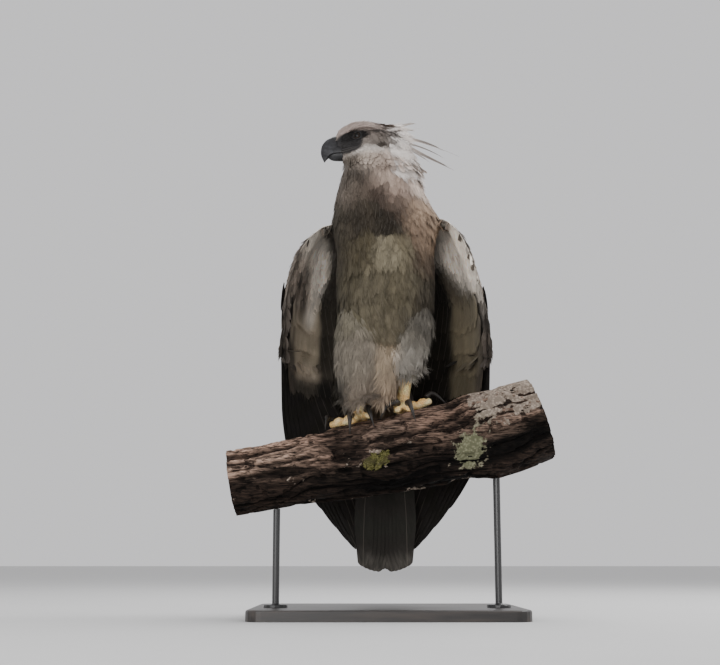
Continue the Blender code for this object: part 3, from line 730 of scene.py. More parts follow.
def body_tint(points):
    """Neck, breast, belly and back: spots on the front that run together, holding painted shade and light,
    and a mottled mantle.
    """
    p = np.asarray(points, float)
    x, y, z = p.T
    behind = y - np.interp(z, *np.array(TRUNK_LEAN).T)
    warp = 0.022 * (cloud(p, 0.030, 11) - 0.5)
    total, weights = np.zeros((len(p), 3)), np.zeros(len(p))
    wide, tall = MARK_REACH
    for mark_x, mark_z, colour in FRONT_MARKS_SHADE_AND_LIGHT:
        far = ((x + warp - mark_x) / wide) ** 2 + ((z + 1.4 * warp - mark_z) / tall) ** 2
        weight = np.exp(-1.5 * far) + 1e-7 / (1 + far)
        total += weight[:, None] * np.array(colour)
        weights += weight
    colour = (total / weights[:, None]) ** MARK_CONTRAST
    nape = smooth(0.0, 0.035, behind) * smooth(0.77, 0.85, z + warp)
    colour = blend(colour, NECK_BACK, nape * 0.9)
    back = smooth(-0.01, 0.055, behind) * (1 - smooth(0.74, 0.80, z + warp))
    colour = blend(colour, MANTLE, back * 0.9)
    clump = cloud(p, (0.013, 0.013, 0.034), 12)
    fine = cloud(p, (0.004, 0.004, 0.014), 13)
    return colour * (0.44 + 0.36 * clump + 0.23 * fine)[:, None]


def coat_tint(points):
    """The bird's markings anywhere on its head and body."""
    points = np.asarray(points, float)
    on_head = smooth(0.862, 0.880, points[:, 2])[:, None]
    return body_tint(points) * (1 - on_head) + head_tint(points) * on_head


def outer_wing_tint(points):
    """Outer wing coverts: mottled brown-grey, browner low down, with pale speckles."""
    p = np.asarray(points, float)
    blotch = cloud(p, (0.018, 0.018, 0.03), 21)
    speck = cloud(p, 0.006, 22)
    amount = smooth(0.35, 0.75, 0.65 * blotch + 0.35 * speck)
    return blend(WING_BROWN, WING_SPECKLE, amount)


# The pale front edge of each wing, as height, distance from the middle and half width
EDGE_BAND = {
    RIGHT: (
        (0.538, 0.153, 0.012),
        (0.565, 0.149, 0.010),
        (0.600, 0.144, 0.012),
        (0.623, 0.138, 0.013),
        (0.645, 0.132, 0.017),
        (0.665, 0.127, 0.021),
        (0.690, 0.126, 0.026),
    ),
    LEFT: (
        (0.545, 0.191, 0.006),
        (0.580, 0.187, 0.007),
        (0.602, 0.178, 0.008),
        (0.623, 0.165, 0.010),
        (0.644, 0.159, 0.014),
        (0.665, 0.150, 0.017),
        (0.690, 0.134, 0.026),
    ),
}
SHADE_SLIT_PLACE = 0.136  # how far from the middle each wing's painted shade beside the body ends


def under_wing_tint(points):
    """The face of a wing that looks forwards.

    A pale band runs down from the wrist, brightest near the wrist as a painted highlight. Outside it lie
    mottled coverts, and inside it pale ones that end in lobes, with painted shade beside the body and dark
    feathers in painted shade below.
    """
    p = np.asarray(points, float)
    x, z = np.abs(p[..., 0]), p[..., 2]
    right = p[..., 0] < 0
    soft = cloud(p, (0.02, 0.02, 0.04), 23)
    fine = cloud(p, (0.004, 0.004, 0.012), 24)
    x = x + 0.010 * (soft - 0.5)
    place, width = np.empty_like(z), np.empty_like(z)
    for side, mine in ((RIGHT, right), (LEFT, ~right)):
        heights, places, widths = np.array(EDGE_BAND[side]).T
        place[mine] = np.interp(z[mine], heights, places)
        width[mine] = np.interp(z[mine], heights, widths)
    upper, lower = blend(*UPPER_LINING, right), blend(*LOWER_LINING, right)
    colour = blend(upper, lower, smooth(0.64, 0.58, z) * (1 - right * smooth(0.50, 0.47, z)))
    # Darker low down: the dark flight feathers there, with painted shade over them
    low = np.where(right, smooth(0.470, 0.448, z), smooth(0.50, 0.38, z) * 0.8)
    colour = blend(colour, SHADE_DARK, low * 0.92)
    # Painted shade in the slit beside the body
    narrow = np.where(right, 0.022 * smooth(0.635, 0.665, z), 0.020 * smooth(0.60, 0.66, z))
    slit = SHADE_SLIT_PLACE - narrow
    colour = blend(colour, SHADE_DARK, smooth(slit + 0.006, slit - 0.010, x) * 0.94)
    outer = smooth(place + width * 0.6, place + width * 1.4, x) * smooth(0.545, 0.60, z)
    colour = blend(colour, outer_wing_tint(p) * 1.6, outer)
    rim = smooth(0.172, 0.184, x) * smooth(0.64, 0.58, z)
    colour = blend(colour, WING_RIM, rim * 0.92)
    width = width * np.where(right & (x < place), 0.55, 1.0)
    band = np.exp(-(((x - place) / width) ** 2)) * smooth(0.540, 0.580, z)
    # The band is brightest at the wrist: the pale edge with a painted highlight
    bright = np.clip(band * 1.3, 0, 1) * (0.7 + 0.3 * smooth(0.60, 0.68, z))
    colour = blend(colour, PALE_BAND_HIGHLIGHT, bright)
    return colour * (0.66 + 0.38 * soft + 0.30 * fine)[..., None]


# Feathers as joined meshes


class Coat:
    """Many feathers gathered as arrays, then made one mesh."""

    def __init__(self, name):
        self.name = name
        self.points, self.normals, self.tints, self.vanes, self.patches = [], [], [], [], []
        self.quads, self.tris = [], []
        self.count = 0

    def add(self, points, normals, tints, template, roots_uv, patch=0.0015):
        """points, normals and tints are for each feather and each template point."""
        feathers, size = points.shape[:2]
        start = self.count + np.arange(feathers)[:, None, None] * size
        a, b, _, d = (points[:, k] for k in template.quads[0])
        facing = np.sum(np.cross(b - a, d - a) * normals[:, template.quads[0][0]])
        way = 1 if facing > 0 else -1
        self.quads.append((start + template.quads[None, :, ::way]).reshape(-1, 4))
        self.tris.append((start + template.tris[None, :, ::way]).reshape(-1, 3))
        self.points.append(points.reshape(-1, 3))
        self.normals.append(normals.reshape(-1, 3))
        self.tints.append(tints.reshape(-1, 3))
        vane = np.stack([template.places[:, 0] / 2 + 0.5, template.places[:, 1]], axis=1)
        self.vanes.append(np.broadcast_to(vane, (feathers, size, 2)).reshape(-1, 2))
        spread = (vane - 0.5) * np.broadcast_to(np.asarray(patch) * 2, (2,))
        self.patches.append((roots_uv[:, None] + spread[None]).reshape(-1, 2))
        self.count += feathers * size

    def build(self, surface, slot, *nodes):
        quads, tris = np.concatenate(self.quads), np.concatenate(self.tris)
        mesh = bpy.data.meshes.new(self.name)
        mesh.vertices.add(self.count)
        mesh.vertices.foreach_set("co", np.concatenate(self.points).astype(np.float32).ravel())
        corners = np.concatenate([quads.ravel(), tris.ravel()]).astype(np.int32)
        mesh.loops.add(len(corners))
        mesh.loops.foreach_set("vertex_index", corners)
        mesh.polygons.add(len(quads) + len(tris))
        starts = np.concatenate([np.arange(len(quads)) * 4, len(quads) * 4 + np.arange(len(tris)) * 3])
        mesh.polygons.foreach_set("loop_start", starts.astype(np.int32))
        mesh.update(calc_edges=True)
        mesh.shade_smooth()
        colour_attribute(mesh, "tint", np.concatenate(self.tints))
        for name, values in (("OFBake", self.patches), ("Vane", self.vanes)):
            layer = mesh.uv_layers.new(name=name)
            layer.uv.foreach_set("vector", np.concatenate(values)[corners].astype(np.float32).ravel())
        mesh.normals_split_custom_set_from_vertices(np.concatenate(self.normals).tolist())
        make_object(self.name, mesh, surface, slot, *nodes)


class Template:
    """A flat feather: places are (across -1 to 1, along 0 to 1), with quads and triangles."""

    def __init__(self, places, quads=(), tris=(), turn=True):
        self.places = np.array(places, float)
        self.quads = self.turned(np.array(quads, int).reshape(-1, 4)) if turn else np.array(quads, int)
        self.tris = self.turned(np.array(tris, int).reshape(-1, 3))

    def turned(self, faces):
        """Faces that all run the same way round."""
        a, b, c = (self.places[faces[:, k]] for k in range(3))
        back = (b - a)[:, 0] * (c - a)[:, 1] < (b - a)[:, 1] * (c - a)[:, 0]
        return np.where(back[:, None], faces[:, ::-1], faces)


def vane_width(along, blunt):
    """Half width of a feather along its length, as a share of its greatest."""
    base = 0.30 + 0.70 * smooth(0.0, 0.35, along)
    tip = np.sqrt(np.maximum(0.0, 1 - np.maximum(0.0, (along - blunt) / (1.02 - blunt)) ** 2))
    return base * tip


def vane_template(rows, columns, blunt=0.55, frays=0, ragged=0.0):
    """A vane as a grid that rounds off at the tip, with loose barbs round its end."""
    places, quads, tris = [], [], []
    for i in range(rows):
        for j in range(columns):
            across = 2 * j / (columns - 1) - 1
            along = i / (rows - 1)
            along -= ragged * rng.random() * (i == rows - 1)
            bend = 0.10 * (1 - across**2) * along
            places.append((across * vane_width(along * 0.96, blunt), min(1.0, along * 0.92 + bend)))
    for i in range(rows - 1):
        for j in range(columns - 1):
            a = i * columns + j
            quads.append((a, a + 1, a + columns + 1, a + columns))
    for k in range(frays):
        t = 0.45 + 0.5 * (k // 2) / max(1, frays // 2 - 1)
        way = 1 if k % 2 else -1
        edge = way * vane_width(t, blunt) * (0.85 if t < 0.9 else 0.5)
        start = len(places)
        reach = 0.10 + 0.10 * rng.random()
        places.append((edge, t))
        places.append((edge * 0.8, t + 0.07))
        places.append((edge * 1.02 + way * 0.25 * (1 - t), min(1.12, t + reach + 0.05)))
        tris.append((start, start + 1, start + 2))
    return Template(places, quads, tris)


def add_blade(places, quads, tris, stations, tip):
    """Adds a narrow blade through three stations (across, along, half width) to the tip's place."""
    start = len(places)
    for middle, along, half in stations:
        places += [(middle - half, along), (middle + half, along)]
    places.append(tip)
    quads += [(start, start + 1, start + 3, start + 2), (start + 2, start + 3, start + 5, start + 4)]
    tris.append((start + 4, start + 5, start + 6))


def down_template(blades, spread, thin=0.16):
    """A soft tuft: narrow blades that fan out from one root."""
    places, quads, tris = [], [], []
    for k in range(blades):
        lean = spread * (2 * (k + rng.random()) / blades - 1)
        length = 0.65 + 0.40 * rng.random()
        bow = 0.55 * (rng.random() - 0.5)
        stations = [
            (lean * t + bow * t * t, t * length, thin * width / 2)
            for t, width in ((0.0, 0.6), (0.4, 1.0), (0.75, 0.7))
        ]
        add_blade(places, quads, tris, stations, (lean + bow, length))
    return Template(places, quads, tris)


def contour_template(blades, spread, thin):
    """A soft contour feather: overlapping blades that part only near a rounded tip."""
    places, quads, tris = [], [], []
    for k in range(blades):
        lean = spread * (2 * k / (blades - 1) - 1)
        length = (1.0 - 0.30 * abs(lean) ** 2) * (0.90 + 0.16 * rng.random())
        lean += 0.10 * (rng.random() - 0.5)
        stations = [
            (lean * math.sin(1.4 * t), t * length, thin * width / 2)
            for t, width in ((0.0, 0.8), (0.45, 1.1), (0.8, 0.8))
        ]
        add_blade(places, quads, tris, stations, (lean + 0.06 * (rng.random() - 0.5), length))
    return Template(places, quads, tris)


CAMBER = 0.12  # how far a small feather's edges droop, as a share of its half width


def plant(coat, template, roots, normals, flow, length, width, lift, tint, uv, curl=0.0, soft=0.6):
    """Small feathers on the skin. Every argument after template has one value for each feather.

    lift is the slope away from the skin, curl bends the tip back down (or up if negative), and soft is
    how much of the shading follows the skin rather than the vane.
    """
    count = len(roots)
    length, width, lift, curl = (np.broadcast_to(v, (count,))[:, None] for v in (length, width, lift, curl))
    across, along = template.places.T
    side = unit(np.cross(flow, normals))
    ahead = unit(np.cross(normals, side))
    x = across[None] * width / 2
    y = along[None] * length
    rise = y * np.sin(lift) - curl * y * along[None] - CAMBER * across[None] ** 2 * width / 2
    points = (
        roots[:, None]
        + side[:, None] * x[..., None]
        + ahead[:, None] * (y * np.cos(lift))[..., None]
        + normals[:, None] * rise[..., None]
    )
    slope = np.sin(lift) - 2 * curl * along[None]
    tilt = -2 * CAMBER * across[None]
    own = unit(
        normals[:, None]
        - ahead[:, None] * slope[..., None]
        - side[:, None] * np.broadcast_to(tilt, slope.shape)[..., None]
    )
    shading = unit(own * (1 - soft) + normals[:, None] * soft)
    coat.add(points, shading, tint, template, uv)


def fade(tint, template, root=0.8, edge=1.0, shaft=1.0):
    """Tints for each template point: darker at the root, and as asked at the edge and the shaft."""
    across, along = template.places.T
    shade = root + (1 - root) * smooth(0.0, 0.5, along)
    shade = shade * (1 + (edge - 1) * smooth(0.55, 1.0, np.maximum(np.abs(across), along)))
    shade = shade * (1 + (shaft - 1) * (1 - smooth(0.0, 0.4, np.abs(across))))
    return tint[:, None] * shade[None, :, None]


# The skin: one surface under the whole coat


def search_tree(mesh):
    return BVHTree.FromPolygons([v.co for v in mesh.vertices], [tuple(p.vertices) for p in mesh.polygons])


class Node:
    """A CAD node's mesh with a search tree, for finding what lies nearest."""

    def __init__(self, name):
        self.mesh = bpy.data.objects[name].data
        self.tree = search_tree(self.mesh)

    def distance(self, points):
        return np.array([self.tree.find_nearest(point)[3] for point in points])


FLESH = ("head", "neck", "trunk", "thigh_right", "thigh_left", "wing_right_coverts", "wing_left_coverts")
SKIN_VOXEL = 0.0032


def coat_depth(points, region):
    """How far under the solids' surface the skin lies."""
    mask, bare, _ = head_masks(points)
    face = 0.0028 + 0.0040 * smooth(0.03, -0.04, in_head_frame(points)[:, 0])
    depths = {
        "head": face * (1 - np.maximum(bare, 0.8 * mask)) + 0.0006,
        "neck": 0.009,
        "trunk": 0.010,
        "thigh": 0.012,
        "wing": 0.0036 + 0.003 * smooth(0.60, 0.50, points[:, 2]),
    }
    return np.select([np.char.startswith(region, part) for part in depths], list(depths.values()))


def nearest_region(points, nodes):
    """The name of the flesh node that each point lies nearest to."""
    distances = np.stack([nodes[name].distance(points) for name in FLESH])
    return np.array(FLESH)[np.argmin(distances, axis=0)]


def evaluated(obj):
    """The object's mesh with its modifiers made real."""
    bpy.context.view_layer.update()
    made = bpy.data.meshes.new_from_object(obj.evaluated_get(bpy.context.evaluated_depsgraph_get()))
    obj.modifiers.clear()
    obj.data = made
    return made


def blended(name, meshes, voxel, smoothing):
    """Overlapping closed meshes made one smooth skin."""
    work = bmesh.new()
    for mesh in meshes:
        work.from_mesh(mesh)
    joined = bpy.data.meshes.new(name)
    work.to_mesh(joined)
    work.free()
    obj = new_object(name, joined)
    remesh = obj.modifiers.new("Remesh", "REMESH")
    remesh.mode = "VOXEL"
    remesh.voxel_size = voxel
    settle = obj.modifiers.new("Smooth", "SMOOTH")
    settle.factor = 0.5
    settle.iterations = smoothing
    mesh = evaluated(obj)
    bpy.data.objects.remove(obj)
    mesh.shade_smooth()
    return mesh


def relax(mesh, points, rounds):
    """Averages each point with its neighbours."""
    edges = np.empty(len(mesh.edges) * 2, int)
    mesh.edges.foreach_get("vertices", edges)
    edges = edges.reshape(-1, 2)
    degree = np.bincount(edges.ravel(), minlength=len(points))[:, None]
    for _ in range(rounds):
        total = np.zeros_like(points)
        for here, there in (edges.T, edges.T[::-1]):
            for k in range(3):
                total[:, k] += np.bincount(here, weights=points[there, k], minlength=len(points))
        points = 0.5 * points + 0.5 * total / degree
    return points


def skin_map(points):
    """An unwrap of one part of the body: turn about the part's own axis across, height up."""
    p = np.asarray(points, float)
    low, high = p[:, 2].min() - 1e-6, p[:, 2].max() + 1e-6
    bands = 10
    band = np.minimum((bands * (p[:, 2] - low) / (high - low)).astype(int), bands - 1)
    filled = np.unique(band)
    middles = np.array([p[band == k].mean(axis=0) for k in filled])
    axis_x = np.interp(p[:, 2], middles[:, 2], middles[:, 0])
    axis_y = np.interp(p[:, 2], middles[:, 2], middles[:, 1])
    turn = np.arctan2(p[:, 0] - axis_x, axis_y - p[:, 1]) / (2 * math.pi) + 0.5
    return 0.02 + 0.96 * np.stack([turn, (p[:, 2] - low) / (high - low)], axis=1)


def wing_map(wing, points, facing_out):
    """An unwrap of a wing: its inner face on the left half of the map, its outer one on the right."""
    rows, columns = wing.middle.grid.shape[:2]
    tree = KDTree(rows * columns)
    for k, place in enumerate(wing.middle.grid.reshape(-1, 3)):
        tree.insert(place, k)
    tree.balance()
    near = np.array([tree.find(place)[1] for place in points])
    across = 0.02 + 0.46 * (near % columns) / (columns - 1) + 0.50 * (facing_out > 0.5)
    return np.stack([across, 0.98 - 0.96 * (near // columns) / (rows - 1)], axis=1)


def skin_tint(points, region):
    """The coat's markings a little darker, and the wings' own on the wings."""
    tint = coat_tint(points)
    on_wing = np.char.startswith(region, "wing")
    tint[on_wing] = under_wing_tint(points[on_wing])
    return tint * 0.85


def make_skin(nodes):
    """One body skin over all the flesh and both eyeballs, sunk by the depth of the coat."""
    meshes = [nodes[name].mesh for name in FLESH]
    meshes += [bpy.data.objects[f"eye_{word}"].data for _, word in SIDES]
    mesh = blended("skin", meshes, SKIN_VOXEL, 2)
    outside = points_of(mesh)
    region = nearest_region(outside, nodes)
    depth = coat_depth(outside, region)
    depth = relax(mesh, np.repeat(depth[:, None], 3, axis=1), 6)[:, 0]
    inside = relax(mesh, outside - normals_of(mesh) * depth[:, None], 2)
    set_points(mesh, inside)
    colour_attribute(mesh, "tint", skin_tint(outside, region))
    obj = make_object("skin", mesh, skin_material(), "plumage_pale", *FLESH)
    return obj, region


class Ground:
    """The skin as a place to plant feathers: its triangles, normals and regions."""

    def __init__(self, obj, region):
        mesh = obj.data
        mesh.calc_loop_triangles()
        corners = np.empty(len(mesh.loop_triangles) * 3, int)
        mesh.loop_triangles.foreach_get("vertices", corners)
        self.corners = corners.reshape(-1, 3)
        self.points = points_of(mesh)
        self.normals = relax(mesh, normals_of(mesh), 4)
        a, b, c = (self.points[self.corners[:, k]] for k in range(3))
        self.areas = np.linalg.norm(np.cross(b - a, c - a), axis=1) / 2
        self.region = region[self.corners[:, 0]]

    def scatter(self, allowed, spacing):
        """Evenly spread roots on the allowed triangles. spacing is a distance, or gives each point's."""

        def gaps(points):
            return spacing(points) if callable(spacing) else np.full(len(points), spacing)

        faces = np.flatnonzero(allowed)
        share = self.areas[faces]
        gap = float(np.min(gaps(self.points[self.corners[faces, 0]])))
        tries = int(2.6 * share.sum() / gap**2)
        chosen = rng.choice(faces, tries, p=share / share.sum())
        r1, r2 = np.sqrt(rng.random(tries)), rng.random(tries)
        weights = np.stack([1 - r1, r1 * (1 - r2), r1 * r2], axis=1)
        spots = np.einsum("nk,nkd->nd", weights, self.points[self.corners[chosen]])
        normals = unit(np.einsum("nk,nkd->nd", weights, self.normals[self.corners[chosen]]))
        keep = thinned(spots, gaps(spots))
        return spots[keep], normals[keep]


def thinned(points, spacing):
    """Which points to keep so that none lies nearer to another than its spacing."""
    cell = float(np.max(spacing))
    grid, kept = {}, []
    keys = np.floor(points / cell).astype(int)
    steps = [(x, y, z) for x in (-1, 0, 1) for y in (-1, 0, 1) for z in (-1, 0, 1)]
    rows = points.tolist()
    for i, key in enumerate(map(tuple, keys.tolist())):
        x, y, z = rows[i]
        limit = spacing[i] ** 2
        clear = True
        for dx, dy, dz in steps:
            for px, py, pz in grid.get((key[0] + dx, key[1] + dy, key[2] + dz), ()):
                if (px - x) ** 2 + (py - y) ** 2 + (pz - z) ** 2 < limit:
                    clear = False
                    break
            if not clear:
                break
        if clear:
            grid.setdefault(key, []).append((x, y, z))
            kept.append(i)
    return np.array(kept)


def tangent(direction, normals):
    """Directions laid flat on the skin."""
    return unit(direction - normals * np.sum(direction * normals, axis=1, keepdims=True))


BILL_ROOT = head_place((0.075, 0.0, -0.008))


def head_flow(points, normals):
    """Away from the bill over the face, and downwards over the neck."""
    away = points - np.array(BILL_ROOT)
    far = np.linalg.norm(away, axis=1)
    down = smooth(0.05, 0.135, far)[:, None]
    way = unit(away) * (1 - down) + np.array((0.0, 0.0, -1.0)) * down
    return tangent(way, normals)


def wander(flow, normals, degrees):
    """The flow, turned a little at random about each normal."""
    angle = np.radians(degrees) * (rng.random(len(flow)) * 2 - 1)[:, None]
    return flow * np.cos(angle) + np.cross(normals, flow) * np.sin(angle)


def between(count, low, high):
    """count random numbers in a range."""
    return low + (high - low) * rng.random(count)


SEEN = 0.6  # how far along a feather the part that others leave uncovered lies


def seen_at(roots, flow, length):
    """Where the part of each feather that shows lies."""
    return roots + flow * (SEEN * length)[:, None]


def plant_variants(
    coat, templates, roots, normals, flow, length, width, lift, tint, shades, places, **more
):
    """Plants each root with a template picked at random. places are the roots' spots on the map."""
    pick = rng.integers(0, len(templates), len(roots))
    for k, template in enumerate(templates):
        i = np.flatnonzero(pick == k)
        if len(i):
            shape = (values[i] for values in (roots, normals, flow, length, width, lift))
            plant(coat, template, *shape, fade(tint[i], template, *shades), places[i], **more)


# The bill's side over the face: forwards, and half its width there
BILL_SIDE = ((0.0465, 0.0185), (0.058, 0.0175), (0.074, 0.0145))


def coat_head(ground, surface):
    """Short feathers over the face, longer towards the nape."""
    coat = Coat("coat_head")
    small = [vane_template(4, 3, 0.4, 5, 0.15) for _ in range(3)]
    small += [contour_template(5, 0.7, 0.5) for _ in range(3)]

    def spacing(p):
        f = in_head_frame(p)[:, 0]
        return 0.0020 + 0.0015 * smooth(0.045, -0.05, f)

    roots, normals = ground.scatter(ground.region == "head", spacing)
    mask, bare, _ = head_masks(roots)
    h = in_head_frame(roots)
    # No feathers grow in the corner of the mouth, in the bill or on the eyes
    gape = np.hypot((h[:, 0] - 0.044) / 0.026, (h[:, 2] + 0.0250) / 0.0035) < 1
    bill_wide = np.interp(h[:, 0], *np.transpose(BILL_SIDE))
    in_bill = (h[:, 0] > 0.044) & (np.abs(h[:, 1]) < bill_wide) & (h[:, 2] < 0.0125)
    in_bill &= (h[:, 2] > -0.024) | (h[:, 0] > 0.052)
    inside = ~gape & ~in_bill
    for side in (-1, 1):
        centre = np.array((EYE_PLACE[0], side * EYE_PLACE[1], EYE_PLACE[2]))
        inside &= np.linalg.norm(h - centre, axis=1) > EYE_RADIUS * 1.02
    roots, normals, h, mask, bare = (values[inside] for values in (roots, normals, h, mask, bare))
    count = len(roots)
    back = smooth(0.05, -0.055, h[:, 0])
    low = smooth(-0.026, -0.042, h[:, 2])
    length = (0.0075 + 0.013 * back) * (1 - 0.35 * np.maximum(mask, bare))
    length = length * between(count, 0.8, 1.25) * (1 + 0.7 * low)
    width = length * (0.42 - 0.08 * back)
    lift = np.radians(6 + 7 * back + 12 * low) * between(count, 0.5, 1.6)
    flow = wander(head_flow(roots, normals), normals, 13)
    tint = coat_tint(seen_at(roots, flow, length)) * between(count, 0.88, 1.12)[:, None]
    plant_variants(coat, small, roots, normals, flow, length, width, lift, tint, (0.95, 1.05, 0.95),
                   skin_map(roots), soft=0.65)
    coat.build(surface, "plumage_pale")


def coat_brow(ground, surface):
    """Stiff pale feathers that overhang each eye from the brow."""
    coat = Coat("coat_brow")
    vane = vane_template(5, 3, 0.4, 5, 0.1)
    h = in_head_frame(ground.points)
    steps = 34  # along each brow, in two rows
    f = np.tile(np.repeat(np.linspace(0.050, 0.000, steps), 2), 2) + between(4 * steps, -0.001, 0.001)
    side = np.repeat((-1.0, 1.0), 2 * steps)
    u = 0.0135 + 0.0020 * np.tile((0.0, 1.0), 2 * steps) - 0.22 * np.clip(f - 0.034, 0, 1)
    wanted = np.stack([f, side * 0.040, u], axis=1)
    gap = np.linalg.norm((h[None] - wanted[:, None]) * (1.0, 0.35, 1.0), axis=2)
    spot = np.argmin(gap + (h[None, :, 1] * side[:, None] < 0), axis=1)
    roots, normals = ground.points[spot], unit(ground.normals[spot])
    outward = np.stack([0.62 + 0 * f, -0.55 * side, -0.20 + 0 * f], axis=1)
    flow = wander(tangent(outward, normals), normals, 10)
    length = between(len(roots), 0.0085, 0.0125)
    tint = head_tint(roots + np.array((0.0, 0.0, 0.006))) * between(len(roots), 0.85, 1.05)[:, None]
    plant(coat, vane, roots, normals, flow, length, length * 0.36, np.radians(24), fade(tint, vane, 0.9),
          skin_map(roots), soft=0.4)
    coat.build(surface, "plumage_pale")


WISP_PALE, WISP_GREY = (0.88, 0.82, 0.77), (0.52, 0.45, 0.41)


def coat_nape(ground, surface):
    """Long loose wisps behind the head, lifted and blown back."""
    coat = Coat("coat_nape")
    wisps = [contour_template(5, 0.9, 0.22) for _ in range(5)]
    upper = (ground.region == "head") | (ground.region == "neck")
    roots, normals = ground.scatter(upper, 0.0042)
    h = in_head_frame(roots)
    share = smooth(-0.012, -0.045, h[:, 0]) * smooth(-0.085, -0.060, h[:, 2])
    keep = rng.random(len(roots)) < share
    roots, normals, h = roots[keep], normals[keep], h[keep]
    count = len(roots)
    high = smooth(-0.030, 0.020, h[:, 2])
    blown = np.stack([0.75 + 0 * high, 0.10 + 0 * high, 0.60 * high - 0.55], axis=1)
    flow = wander(tangent(blown, normals), normals, 24)
    length = between(count, 0.020, 0.044)
    lift = np.radians(between(count, 10, 32) + 6 * high)
    tint = blend(WISP_PALE, WISP_GREY, smooth(0.6, 1.0, rng.random(count)) * 0.6)
    plant_variants(coat, wisps, roots, normals, flow, length, length * 0.34, lift, tint, (0.9, 1.0, 1.0),
                   skin_map(roots), curl=0.12, soft=0.6)
    coat.build(surface, "plumage_white")


def coat_body(ground, surface):
    """Neck, breast, belly and back."""
    soft = [contour_template(7, 0.95, 0.34) for _ in range(8)]
    downy = [down_template(9, 0.8, 0.16) for _ in range(6)]
    trunk = (ground.region == "trunk") | (ground.region == "neck")
    heights = ground.points[ground.corners[:, 0], 2]
    for name, low, high, gap, size in (
        ("coat_neck", 0.785, 0.99, 0.0040, 0.026),
        ("coat_breast", 0.60, 0.785, 0.0048, 0.034),
        ("coat_belly", 0.30, 0.60, 0.0051, 0.038),
    ):
        coat = Coat(name)
        roots, normals = ground.scatter(trunk & (heights >= low) & (heights < high), gap)
        count = len(roots)
        down = np.tile((0.0, 0.0, -1.0), (count, 1))
        flow = np.where((roots[:, 2] > 0.84)[:, None], head_flow(roots, normals), tangent(down, normals))
        sway = 2 * cloud(roots, 0.045, 15) - 1
        flow = unit(flow + np.cross(normals, flow) * (0.35 * sway)[:, None])
        flow = wander(flow, normals, 14)
        below = smooth(0.50, 0.42, roots[:, 2])
        above = smooth(0.80, 0.85, roots[:, 2])
        length = size * between(count, 0.7, 1.2) * (1 + 0.35 * below - 0.32 * above)
        width = length * between(count, 0.30, 0.46) * (1 - 0.22 * above)
        lift = np.radians(5.5 + 5 * below) * between(count, 0.6, 1.6)
        tint = coat_tint(seen_at(roots, flow, length)) * between(count, 0.92, 1.08)[:, None]
        places = skin_map(roots)
        fluffy = rng.random(count) < 0.35 + 0.5 * smooth(0.56, 0.44, roots[:, 2])
        for group, picked in ((soft, ~fluffy), (downy, fluffy)):
            i = np.flatnonzero(picked)
            wide = 1.0 if group is soft else 1.4
            plant_variants(coat, group, roots[i], normals[i], flow[i], length[i], width[i] * wide, lift[i],
                           tint[i], (0.95, 1.04, 0.97), places[i], curl=0.06, soft=0.75)
        coat.build(surface, "plumage_pale")


def coat_thighs(ground, surface):
    """Loose fluffy trousers, the one on the bird's right hanging over its shank."""
    downy = [down_template(10, 0.9, 0.12) for _ in range(8)]
    for side, word in SIDES:
        coat = Coat(f"coat_thigh_{word}")
        roots, normals = ground.scatter(ground.region == f"thigh_{word}", 0.0040)
        count = len(roots)
        down = np.tile((0.10 * side, -0.10, -1.0), (count, 1))
        flow = wander(tangent(down, normals), normals, 20)
        low = smooth(0.48, 0.42, roots[:, 2]) if side == RIGHT else smooth(0.53, 0.48, roots[:, 2])
        length = 0.031 * between(count, 0.7, 1.3) * (1 + (0.35 if side == RIGHT else 0.0) * low)
        width = length * between(count, 0.42, 0.66)
        lift = np.radians(9 + 7 * low) * between(count, 0.6, 1.7)
        tint = body_tint(seen_at(roots, flow, length))
        ball = 0.22 * low * (side == LEFT)
        tint = blend(tint, WHITE, 0.08 + ball) * between(count, 0.88, 1.12)[:, None]
        plant_variants(coat, downy, roots, normals, flow, length, width, lift, tint, (0.92, 1.04, 1.0),
                       skin_map(roots), curl=0.14, soft=0.7)
        coat.build(surface, "plumage_white")


# Sheets: wings and tail as grids that feathers lie on


class Sheet:
    """A curved sheet read at (u across, v down) places from 0 to 1."""

    def __init__(self, grid):
        self.grid = grid
        across, down = np.gradient(grid, axis=1), np.gradient(grid, axis=0)
        self.normal = unit(np.cross(down, across))
        self.wide = np.linalg.norm(np.diff(grid, axis=1), axis=2).sum(axis=1)

    def read(self, field, u, v):
        rows, columns = field.shape[:2]
        x = np.clip(u, 0, 1) * (columns - 1)
        y = np.clip(v, 0, 1) * (rows - 1)
        i, j = np.minimum(x.astype(int), columns - 2), np.minimum(y.astype(int), rows - 2)
        s, t = (x - i)[..., None], (y - j)[..., None]
        return (
            field[j, i] * (1 - s) * (1 - t)
            + field[j, i + 1] * s * (1 - t)
            + field[j + 1, i] * (1 - s) * t
            + field[j + 1, i + 1] * s * t
        )

    def width_at(self, v):
        return np.interp(v, np.linspace(0, 1, len(self.wide)), self.wide)

    def lay(self, u0, v0, u1, v1, width, template, base, lift, camber):
        """Feathers from (u0, v0) to (u1, v1). Heights are off the sheet, at the root and the tip."""
        across, along = template.places.T
        values = (u0, v0, u1, v1, width, base, lift)
        u0, v0, u1, v1, width, base, lift = (np.asarray(value, float)[:, None] for value in values)
        v = v0 + (v1 - v0) * along[None]
        u = u0 + (u1 - u0) * along[None] ** 1.15 + across[None] * width / 2 / self.width_at(v)
        height = base + (lift - base) * along[None] ** 1.2 + camber * (1 - across[None] ** 2) * width / 2
        points = self.read(self.grid, u, v)
        normals = unit(self.read(self.normal, u, v))
        return points + normals * height[..., None], normals


